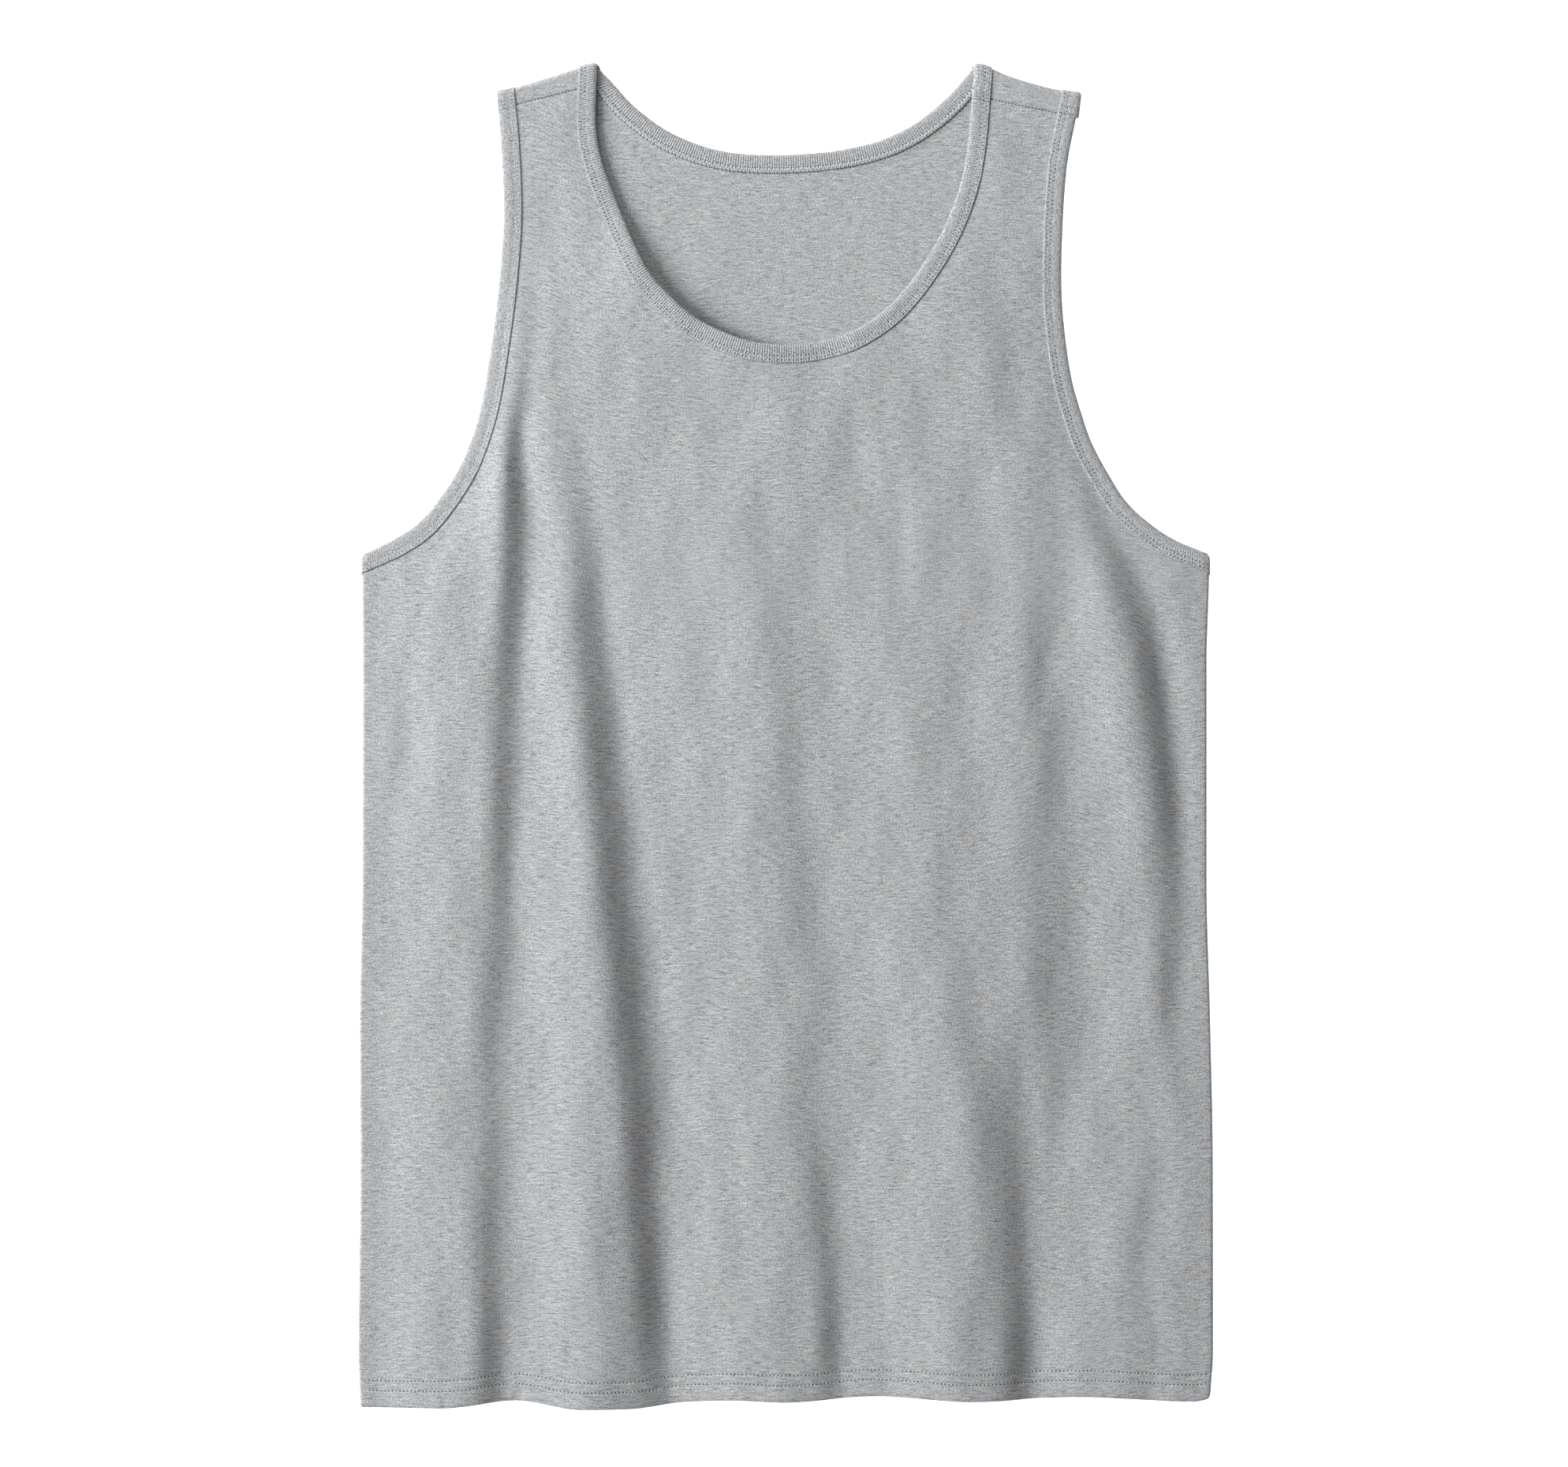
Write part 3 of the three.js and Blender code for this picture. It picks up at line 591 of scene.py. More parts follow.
def over_shoulder(x, turn):
    """Round a shoulder fold, from -90 degrees on the back to 90 degrees on the front."""
    x, turn = np.broadcast_arrays(x, np.radians(turn))
    top = shoulder_y(x.ravel()).reshape(x.shape)
    slope = (shoulder_y(x.ravel() + 0.5) - shoulder_y(x.ravel() - 0.5)).reshape(x.shape)
    out, up = np.cos(turn), np.sin(turn)
    points = np.stack([x, top - FOLD_INSET + FOLD_RADIUS * out, FOLD_LEVEL + FOLD_RADIUS * up], -1)
    normals = np.stack([-slope * out, out, up], -1)
    rolled = top - FOLD_INSET + FOLD_RADIUS * (turn + math.pi / 2)
    return Placed(points, normals, np.stack([x, rolled], -1))


def over_side(y, turn, side):
    """Round a side fold, from -90 degrees on the back to 90 degrees on the front."""
    y, turn = np.broadcast_arrays(y, np.radians(turn))
    outline = side.outline_x(y.ravel()).reshape(y.shape)
    out, up = np.cos(turn), np.sin(turn)
    x = outline - side.sign * (SIDE_INSET - SIDE_SHARPNESS * out)
    points = np.stack([x, y, FOLD_LEVEL + FOLD_RADIUS * up], -1)
    normals = np.stack(
        [side.sign * out * FOLD_RADIUS, np.zeros_like(out), up * SIDE_SHARPNESS], -1
    )
    rolled = outline - side.sign * (SIDE_INSET - FOLD_RADIUS * (math.pi / 2 - np.abs(turn)))
    return Placed(points, normals, np.stack([rolled, y], -1))


def joined(parts):
    """Several placed stretches as one, end to end."""
    fields = [[getattr(part, field) for part in parts] for field in Placed.FIELDS]
    return Placed(*map(np.concatenate, fields))


def rib_count(length):
    """Stations for a stretch of binding: a whole number of ribs, four stations to a rib."""
    return len(RIB_PROFILE) * max(1, round(length / RIB_PITCH))


class Stations:
    """Places along part of an opening: its edge and the unit direction into the cloth, which turns
    straight down near the first end and to a given direction near the last. Without a count there
    is one for each station of the ribs."""

    def __init__(self, curve, hand, span, into_last, count):
        start, end = span
        distances = np.linspace(start, end, count or rib_count(abs(end - start)) + 1)
        self.edge = curve.at(distances)
        along = curve.direction(distances)
        into = hand * np.stack([along[:, 1], -along[:, 0]], -1)
        for limit, wanted in ((start, np.array([0.0, -1.0])), (end, into_last)):
            nearness = 1 - ease(np.abs(distances - limit) / END_TURN_LENGTH)
            into += (wanted - into) * nearness[:, None]
        self.into = unit(into)

    def plan(self, reach):
        """The x and y of the places that far into the cloth, a row for each station."""
        places = self.edge[:, None] + self.into[:, None] * np.atleast_1d(reach)[:, None]
        return np.moveaxis(places, -1, 0)


class Side:
    """One side of the garment: sign is -1 at the left and 1 at the right."""

    def __init__(self, name, sign, arm_curve, outline_x):
        self.sign = sign
        self.outline_x = outline_x
        self.arm_curve = arm_curve
        self.crease_y = ARMPIT_Y[name]
        self.swell = sign * SWELL[name]
        self.turn_y = arm_curve.at(0.0)[1]
        arm_y, neck_y = SEAM_Y[name]
        front_end, back_end = (
            0.0 if sign < 0 else curve.length for curve in (front_neck_curve, back_neck_curve)
        )
        neck_length = front_neck_curve.length
        middle = front_neck_curve.where(0, 0, 0.25 * neck_length, 0.75 * neck_length)
        neck_seam = front_neck_curve.where(1, neck_y, middle, front_end)
        arm_seam = arm_curve.where(1, arm_y, 0, arm_curve.length)
        self.arm_span = (0, arm_seam)
        self.front_span = (middle, neck_seam)
        self.back_span = (back_neck_curve.where(0, 0, 0, back_neck_curve.length), back_end)
        self.to_neck = unit(front_neck_curve.at(neck_seam) - arm_curve.at(arm_seam))
        self.arm_x = arm_curve.at(arm_curve.length)[0]
        self.front_neck_x = front_neck_curve.at(front_end)[0]
        self.back_neck_x = back_neck_curve.at(back_end)[0]

    def armhole(self, count=None):
        return Stations(self.arm_curve, -self.sign, self.arm_span, self.to_neck, count)

    def front_neck(self, count=None):
        return Stations(front_neck_curve, 1, self.front_span, -self.to_neck, count)

    def back_neck(self, count=None):
        return Stations(back_neck_curve, 1, self.back_span, -self.to_neck, count)

    def crease_reach_y(self, turn, reach):
        """How high the cloth lies that far below an armhole's edge, round the side fold."""
        inward = 1 - np.cos(np.radians(turn))
        return self.crease_y + (self.turn_y - self.crease_y) * inward - reach

    def swell_x(self, reach):
        return self.swell * np.clip(1 - reach / BINDING_WIDTH, 0, 1)

    def arm_top_x(self, reach):
        return self.arm_x + self.to_neck[0] * reach + TOP_SWELL * self.swell_x(reach)

    def neck_top_x(self, turn, reach):
        share = front_share(turn)
        edge = self.back_neck_x * (1 - share) + self.front_neck_x * share
        return edge - self.to_neck[0] * reach


left = Side("left", -1, left_arm_curve, left_side_x)
right = Side("right", 1, right_arm_curve, right_side_x)
both_sides = (left, right)


class Panel:
    """A cloth panel made of rows of places, each row in two halves from the sides inwards."""

    def __init__(self, facing):
        self.facing = facing
        self.on_layer = on_front if facing > 0 else on_back
        self.parts = []
        self.count = 0
        self.rows = ([], [])

    def add(self, halves, meet):
        """Adds a row. Where its halves meet, they share their middle place."""
        for side, (row, half) in enumerate(zip(self.rows, halves)):
            shared = meet and side == 1
            kept = len(half.points) - 1 if shared else len(half.points)
            numbers = np.arange(self.count, self.count + kept)
            if shared:
                numbers = np.append(numbers, self.rows[0][-1][-1])
                half = half.part(slice(0, -1))
            row.append(numbers)
            self.parts.append(half)
            self.count += kept

    def quads(self):
        made = []
        for rows, turned_over in zip(self.rows, (self.facing < 0, self.facing > 0)):
            for lower, upper in zip(rows, rows[1:]):
                lower = lower[-len(upper):]
                quad = np.stack([lower[:-1], lower[1:], upper[1:], upper[:-1]], -1)
                made.append(quad[:, ::-1] if turned_over else quad)
        return np.concatenate(made)


def folded_half(panel, side, row_y, columns):
    """One half of a row that starts at the side fold."""
    turns = np.array([SIDE_SEAM_TURN, 10, 20, 30, 40, 50, 60, 70, 80, 90.0])
    rim_y = row_y(side.outline_x(0.0))
    fold_y = rim_y + np.zeros(len(turns))
    start = side.outline_x(rim_y)[0] - side.sign * SIDE_INSET
    x = np.linspace(start, 0, columns + 1)[1:]
    return joined([over_side(fold_y, panel.facing * turns, side), panel.on_layer(x, row_y(x))])


def hem_edge(placed, height, x):
    """The rounded, turned-up and twice-stitched hem, with the puckers that the stitches pull."""
    rounding = HEM_ROUNDING * (1 - ease(height / HEM_ROUNDING_HEIGHT))
    groove = sum(
        STITCH_GROOVE * math.exp(-(((height - row) / STITCH_GROOVE_HALF) ** 2)) for row in HEM_ROWS
    )
    sewn = ease(height / PUCKER_EASE) * (1 - ease((height - HEM_DEPTH) / PUCKER_EASE))
    pucker = np.sin(x / 1.27) * np.sin(x / 9.1 + height / 3) + 0.6 * np.sin(x / 2.2 + height / 4)
    placed.outer = placed.outer - rounding - groove + PUCKER_HEIGHT * sewn * pucker
    turn_up = HEM_TURN_UP if height <= HEM_DEPTH + 0.4 else 0.0
    placed.inner = placed.inner + turn_up - rounding
    return placed


def above_hem(hem_y, height, x):
    """The y of a row at a height above the hem's middle. Its wave fades out upwards."""
    middle = hem_y(0.0)[0]
    wave = 1 - ease(height / HEM_WAVE_HEIGHT)
    return middle + height + (hem_y(x) - middle) * wave


def add_body_rows(panel, hem_y, grid):
    """Rows up to the armpits. They follow the hem's wave, straighten above it, and bend down
    to the armhole bindings at the sides."""
    top = ARMPIT_MIDDLE_Y - hem_y(0.0)[0]
    heights = [*HEM_HEIGHTS, *np.linspace(HEM_HEIGHTS[-1], top, grid["body_rows"] + 1)[1:]]
    for height in heights:
        bend = ease((height - top + ARMPIT_EASE) / ARMPIT_EASE)
        halves = []
        for side in both_sides:
            dip = ARMPIT_MIDDLE_Y - side.crease_reach_y(90.0, TUCKED_IN)

            def row_y(x, side=side, dip=dip):
                outward = np.minimum(1, np.abs(x / side.outline_x(0.0)))
                return above_hem(hem_y, height, x) - dip * bend * outward

            half = folded_half(panel, side, row_y, grid["columns"])
            halves.append(hem_edge(half, height, half.cloth[:, 0]))
        panel.add(halves, meet=True)


def add_upper_rows(panel, grid, neck_name):
    """Rows between the armholes, which end at the middle line and above it at the neck. It gives
    the places in the plan of the last row's two halves."""
    middle_rows = grid["arm_rows"] - grid["neck_rows"]
    plans = []
    for side in both_sides:
        arm = np.concatenate(side.armhole(grid["arm_rows"] + 1).plan(TUCKED_IN), axis=1)
        neck = getattr(side, neck_name)(grid["neck_rows"] + 1)
        plans.append((arm, np.concatenate(neck.plan(TUCKED_IN), axis=1)))
    neck_low = plans[0][1][0][1]
    share = np.linspace(0, 1, grid["columns"] + 1)[:, None]
    for k in range(1, grid["arm_rows"]):
        places = []
        for arm, neck in plans:
            if k <= middle_rows:
                level = ARMPIT_MIDDLE_Y + (neck_low - ARMPIT_MIDDLE_Y) * k / middle_rows
                end = np.array([0.0, level])
            else:
                end = neck[k - middle_rows]
            places.append(arm[k] + (end - arm[k]) * share)
        panel.add([panel.on_layer(*half.T) for half in places], meet=k <= middle_rows)
    return places


def strap_fold(side, columns, turn):
    """Places in the plan across a strap, where the cloth starts to turn over the shoulder."""
    x = np.linspace(side.arm_top_x(TUCKED_IN), side.neck_top_x(turn, TUCKED_IN), columns + 1)
    return np.stack([x, shoulder_y(x) - FOLD_INSET], -1)


def strap_row(side, columns, from_fold, offset):
    """Places in the plan across a strap, from the shoulder seam at 0 to the shoulder fold at 1."""
    seam = [stations.plan(TUCKED_IN) for stations in (side.armhole(2), side.front_neck(2))]
    low, high = (np.array([xs[-1, 0], ys[-1, 0] + offset]) for xs, ys in seam)
    share = np.linspace(0, 1, columns + 1)[:, None]
    at_seam = low + (high - low) * share
    places = at_seam + (strap_fold(side, columns, 90) - at_seam) * from_fold
    return places.T


def add_strap_rows(panel, grid, rows):
    """Rows across both straps. Near the shoulder seam they dip into it."""
    for from_fold, offset, dip in rows:
        places = [strap_row(side, grid["columns"], from_fold, offset) for side in both_sides]
        panel.add([on_front(*half).shifted(dip) for half in places], meet=False)


def front_cloth():
    panel = Panel(1)
    add_body_rows(panel, front_hem_y, FRONT_GRID)
    add_upper_rows(panel, FRONT_GRID, "front_neck")
    add_strap_rows(panel, FRONT_GRID, [
        (0.0, -1.6, 0), (0.0, -0.8, 0.05), (0.0, -0.35, 0.2), (0.0, -SEAM_GAP / 2, 0.6),
    ])
    return panel


def back_cloth():
    panel = Panel(-1)
    columns = BACK_GRID["columns"]
    add_body_rows(panel, back_hem_y, BACK_GRID)
    last_row = add_upper_rows(panel, BACK_GRID, "back_neck")
    folds = [strap_fold(side, columns, -90) for side in both_sides]
    for share in (0.3, 0.6, 0.9):
        places = [last + (fold - last) * share for last, fold in zip(last_row, folds)]
        panel.add([on_back(*half.T) for half in places], meet=False)
    for turn in np.arange(-90, 91, 15.0):
        halves = []
        for side in both_sides:
            ends = side.arm_top_x(TUCKED_IN), side.neck_top_x(turn, TUCKED_IN)
            half = over_shoulder(np.linspace(*ends, columns + 1), turn)
            edge = np.linspace(0, 1, columns + 1) * abs(ends[1] - ends[0]) + TUCKED_IN
            inward = np.minimum(edge, edge[::-1])
            halves.append(half.shifted(lift_in_binding(inward) * (1 - front_share(turn))))
        panel.add(halves, meet=False)
    add_strap_rows(panel, BACK_GRID, [
        (0.75, 0, 0), (0.5, 0, 0), (0.25, 0, 0), (0.0, 1.0, 0.05), (0.0, 0.4, 0.2),
        (0.0, SEAM_GAP / 2, 0.6),
    ])
    return panel


def add_object(name, data):
    made = bpy.data.objects.new(name, data)
    bpy.context.collection.objects.link(made)
    return made


def object_from(name, points, polygons, cloth, materials, sharp=55):
    """A smooth-shaded mesh object. cloth gives each point's place on the flat cloth."""
    mesh = bpy.data.meshes.new(name)
    mesh.from_pydata((points * MM).tolist(), [], [list(polygon) for polygon in polygons])
    layer = mesh.uv_layers.new(name="cloth")
    corners = np.empty(len(mesh.loops), np.int32)
    mesh.loops.foreach_get("vertex_index", corners)
    layer.uv.foreach_set("vector", (cloth[corners] * MM).astype(np.float32).ravel())
    mesh.polygons.foreach_set("use_smooth", np.ones(len(mesh.polygons), bool))
    mesh.set_sharp_from_angle(angle=math.radians(sharp))
    for material in materials:
        mesh.materials.append(material)
    return add_object(name, mesh)


def course_lift(x, y):
    """How far the knitted courses lie above their place on a straight cloth, in the plan."""
    # Higher on the chest, from the left armhole inwards
    left_chest = 19 * ease((x + 160) / 85) * ease((y - 60) / 70)
    # Lower by up to 14 mm round x = 158, below the right armhole
    right_body = 14 * (ease((x - 158) / 60) - ease((x - 98) / 60))
    right_body *= ease((140 - y) / 80) * ease((y + 150) / 110)
    return left_chest + right_body


def thickened(name, panel, material, cloth_offset):
    """A panel's rows as a closed wall, with rims where a face has no neighbour."""
    whole = joined(panel.parts)
    whole.cloth[:, 1] += course_lift(*whole.cloth.T) if panel.facing > 0 else 0.0
    quads = panel.quads()
    outer, inner = whole.faces()
    count = len(outer)
    edges = np.concatenate([np.stack([quads[:, i], quads[:, (i + 1) % 4]], -1) for i in range(4)])
    there = edges[:, 0].astype(np.int64) * count + edges[:, 1]
    back_again = edges[:, 1].astype(np.int64) * count + edges[:, 0]
    start, end = edges[~np.isin(back_again, there)].T
    walls = np.stack([end, start, start + count, end + count], -1)
    polygons = np.concatenate([quads, quads[:, ::-1] + count, walls])
    cloth = np.tile(whole.cloth + cloth_offset, (2, 1))
    return object_from(name, np.concatenate([outer, inner]), polygons, cloth, [material])


def ring_of(stretches):
    """A binding's points, normals and heights out of the cloth, a row for each station round it.
    Each stretch has its places and a share: 1 on the front layer and 0 on the back."""
    _, front_height_of, back_height_of, _ = SECTION
    whole = joined([placed for placed, _ in stretches])
    shares = [np.broadcast_to(share, placed.points.shape[:1]) for placed, share in stretches]
    share = np.concatenate(shares)[:, None]
    return whole.points, whole.normals, back_height_of + (front_height_of - back_height_of) * share


def rows_to_fold(plan, seam_row, top_x, count):
    """Rows in the plan on to a shoulder fold, with the row at the fold."""
    fold_row = np.array([top_x, shoulder_y(top_x) - FOLD_INSET])[:, None]
    t = np.linspace(0, 1, count, endpoint=False)[:, None]
    return np.concatenate([plan[:, :-1], seam_row + (fold_row - seam_row) * t, fold_row], axis=1)


FOLD_COUNT = rib_count(math.pi * FOLD_RADIUS)
NECK_SEAM_TO_FOLD = 9.2


def shoulder_stretch(top_x, rising):
    """Over a shoulder fold, from the front to the back unless it is rising."""
    turns = np.linspace(90, -90, FOLD_COUNT, endpoint=False)
    if rising:
        turns = -turns
    x = np.stack([top_x(turn) for turn in turns])
    return over_shoulder(x, turns[:, None]), front_share(turns)


def back_section(x, y):
    """The binding's places on the back layer, without the lift of the cloth that it holds."""
    return on_surface(back_height, x, y, -1)


def armhole_ring(side):
    """Up the front from the crease, over the shoulder, down the back and round the crease."""
    reach = SECTION[0]
    top_x = side.arm_top_x(reach)
    front = side.armhole().plan(reach)
    seam_row = front[:, -1:].copy()
    seam_row[0] += side.swell_x(reach)
    rise = shoulder_y(side.arm_top_x(0.0))[0] - FOLD_INSET - seam_row[1, 0, EDGE_ROW]
    up = rows_to_fold(front, seam_row, top_x, rib_count(rise))[:, :-1]

    def crease(turns):
        y = side.crease_reach_y(turns[:, None], reach)
        return over_side(y, turns[:, None], side), front_share(turns)

    turns = np.linspace(0, 90, FOLD_COUNT // 2, endpoint=False)
    return ring_of([
        crease(turns),
        (on_front(*up), 1.0),
        shoulder_stretch(lambda turn: top_x, rising=False),
        (back_section(*up[:, :0:-1]), 0.0),
        crease(turns - 90),
    ])


def neck_ring():
    """From the front's middle up the left side, round the back, and down the right side."""
    reach = SECTION[0]

    def front_of(side):
        plan = side.front_neck().plan(reach)
        top_x = side.neck_top_x(90, reach)
        return rows_to_fold(plan, plan[:, -1:], top_x, rib_count(NECK_SEAM_TO_FOLD))

    return ring_of([
        (on_front(*front_of(left)[:, :-1]), 1.0),
        shoulder_stretch(lambda turn: left.neck_top_x(turn, reach), rising=False),
        (back_section(*left.back_neck().plan(reach)[:, :0:-1]), 0.0),
        (back_section(*right.back_neck().plan(reach)[:, :-1]), 0.0),
        shoulder_stretch(lambda turn: right.neck_top_x(turn, reach), rising=True),
        (on_front(*front_of(right)[:, :0:-1]), 1.0),
    ])


def ribbed(name, ring, material, rib_depth, inside_out):
    """The binding's mesh, with ribs across it."""
    reach, _, _, rib_share = SECTION
    points, normals, height = ring
    stations, around = height.shape
    depth = rib_depth * RIB_PROFILE[np.arange(stations) % len(RIB_PROFILE)]
    height = height - np.sign(height) * depth[:, None] * rib_share
    surface = (points + normals * height[..., None]).reshape(-1, 3)
    along = np.arange(stations) * RIB_PITCH / len(RIB_PROFILE)
    cloth = np.stack(np.broadcast_arrays(along[:, None], reach), -1).reshape(-1, 2)
    here = np.arange(stations * around).reshape(stations, around)
    ahead = np.roll(here, -1, axis=0)
    quads = np.stack([here, np.roll(here, -1, 1), np.roll(ahead, -1, 1), ahead], -1).reshape(-1, 4)
    if inside_out:
        quads = quads[:, ::-1]
    return object_from(name, surface, quads, cloth, [material])


def shader(name, sheen=0.12):
    material = bpy.data.materials.new(name)
    material.use_nodes = True
    surface = material.node_tree.nodes["Principled BSDF"]
    surface.inputs["Roughness"].default_value = 0.95
    surface.inputs["Specular IOR Level"].default_value = 0.15
    surface.inputs["Sheen Weight"].default_value = sheen
    surface.inputs["Sheen Roughness"].default_value = 0.5
    return material, surface


class Graph:
    """Short calls for the nodes of one material."""

    def __init__(self, material):
        self.nodes = material.node_tree.nodes
        self.link = material.node_tree.links.new

    def node(self, kind, inputs, output=0, **settings):
        """A new node's output. Its inputs are numbers, colours or other nodes' outputs."""
        made = self.nodes.new("ShaderNode" + kind)
        for name, setting in settings.items():
            setattr(made, name, setting)
        for name, value in inputs.items():
            if isinstance(value, bpy.types.NodeSocket):
                self.link(value, made.inputs[name])
            else:
                made.inputs[name].default_value = value
        return made.outputs[output]

    def place(self):
        return self.node("UVMap", {}, "UV", uv_map="cloth")

    def math(self, operation, *values):
        return self.node("Math", dict(enumerate(values)), operation=operation)

    def vector(self, operation, *values):
        return self.node("VectorMath", dict(enumerate(values)), operation=operation)

    def noise(self, place, size, seed, detail=2.0, roughness=0.5):
        """Noise from 0 to 1 with cells of that size in millimetres, along and across."""
        scale = tuple(1 / (MM * length) for length in size)
        moved = self.vector("ADD", self.vector("MULTIPLY", place, (*scale, 1.0)), (0, 0, seed))
        inputs = {"Scale": 1.0, "Detail": detail, "Roughness": roughness, "Vector": moved}
        return self.node("TexNoise", inputs, "Fac")

    def between(self, value, low, high, to_low, to_high):
        inputs = {"Value": value, "From Min": low, "From Max": high,
                  "To Min": to_low, "To Max": to_high}
        return self.node("MapRange", inputs, "Result", interpolation_type="SMOOTHSTEP")

    def mix(self, share, first, second):
        """A mix of two colours, whose sockets come after those for numbers and vectors."""
        return self.node("Mix", {0: share, 6: first, 7: second}, 2, data_type="RGBA")

    def bump(self, height, distance, strength):
        inputs = {"Strength": strength, "Distance": distance * MM, "Height": height}
        return self.node("Bump", inputs, "Normal")


BASE_GREY = (0.375, 0.390, 0.406, 1)
# Fibres from pale through bluish to brownish: colour, a streak's length as a share of the cloth's
# own and its height, seed, the noise where it starts and where it is full, and how much it covers
FIBRES = [
    ((0.62, 0.62, 0.59, 1), 2.2, 1.0, 11.0, 0.46, 0.70, 0.43),
    ((0.125, 0.165, 0.235, 1), 1.5, 0.9, 23.0, 0.50, 0.72, 0.58),
    ((0.215, 0.165, 0.105, 1), 1.1, 0.9, 37.0, 0.49, 0.72, 0.62),
]
GRAIN = 0.29  # how much lighter and darker single loops are
COURSE_WANDER = 14.0  # how far the courses wander along the cloth


def heather(name, streak_length, contrast, ribs):
    """Marled knit: fibres in short streaks along the courses. Sizes are in millimetres. ribs is
    how much painted shade darkens the colour in the grooves between ribs."""
    material, surface = shader(name)
    graph = Graph(material)
    place = graph.place()
    wander = graph.math("SUBTRACT", graph.noise(place, (60, 80), 3.0), 0.5)
    lift = graph.math("MULTIPLY", wander, COURSE_WANDER * MM)
    course = graph.vector("ADD", place, graph.node("CombineXYZ", {"Y": lift}))
    colour = BASE_GREY
    for fibre, length, height, seed, low, high, share in FIBRES:
        found = graph.noise(course, (streak_length * length, height), seed, roughness=0.55)
        shown = graph.between(found, low, high, 0.0, share * contrast)
        colour = graph.mix(shown, colour, fibre)
    grain = graph.noise(course, (0.9, 0.8), 51.0, detail=1.0)
    spread = GRAIN * contrast
    brightness = graph.between(grain, 0.25, 0.75, 1 - spread, 1 + spread)
    # Painted shade: the colour darkens in a cosine along the cloth, deepest in the grooves between
    # ribs
    if ribs:
        along = graph.node("SeparateXYZ", {0: place}, "X")
        turn = graph.math("MULTIPLY", along, 2 * math.pi / (RIB_PITCH * MM))
        groove = graph.math("MULTIPLY", graph.math("COSINE", turn), ribs)
        brightness = graph.math("MULTIPLY", brightness, graph.math("ADD", groove, 1.0))
    graph.link(graph.vector("MULTIPLY", colour, brightness), surface.inputs["Base Color"])
    graph.link(graph.bump(grain, 0.35, 0.5), surface.inputs["Normal"])
    return material


def mottled_material(name, colour):
    material, surface = shader(name)
    graph = Graph(material)
    found = graph.noise(graph.place(), (0.9, 0.3), 5.0)
    darker = tuple(0.7 * part for part in colour[:3]) + (1,)
    graph.link(graph.mix(found, darker, colour), surface.inputs["Base Color"])
    return material


def closed_shape(corners, first, rings, last):
    """A closed mesh from a first point over rings of points to a last one. Each ring is a function
    of the cosine and sine of its points' angles."""
    angles = 2 * math.pi * np.arange(corners) / corners
    points = [first]
    for ring in rings:
        points.extend(ring(math.cos(angle), math.sin(angle)) for angle in angles)
    points.append(last)
    end = len(points) - 1
    faces = []
    for i in range(corners):
        j = (i + 1) % corners
        faces.append((0, 1 + j, 1 + i))
        for low in range(1, end - corners, corners):
            faces.append((low + i, low + j, low + corners + j, low + corners + i))
        faces.append((end - corners + i, end - corners + j, end))
    return np.array(points), faces


# One stitch: along, across and up, from -1 to 1, with its two ends sunk into the cloth
STITCH = closed_shape(6, (-1.0, 0.0, -1.2), [
    lambda c, s: (-0.62, 0.8 * c, 0.8 * s - 0.25),
    lambda c, s: (0.0, c, s),
    lambda c, s: (0.62, 0.8 * c, 0.8 * s - 0.25),
], (1.0, 0.0, -1.2))
# Painted shade in a needle hole, as a shallow lens that is given a near-black colour
HOLE_SHADE = closed_shape(7, (0.0, 0.0, -0.4), [lambda c, s: (c, s, 0.0)], (0.0, 0.0, 0.15))


def spaced(values, distance, at):
    at = np.clip(at, 0, distance[-1])
    return np.stack([np.interp(at, distance, axis) for axis in values.T], -1)


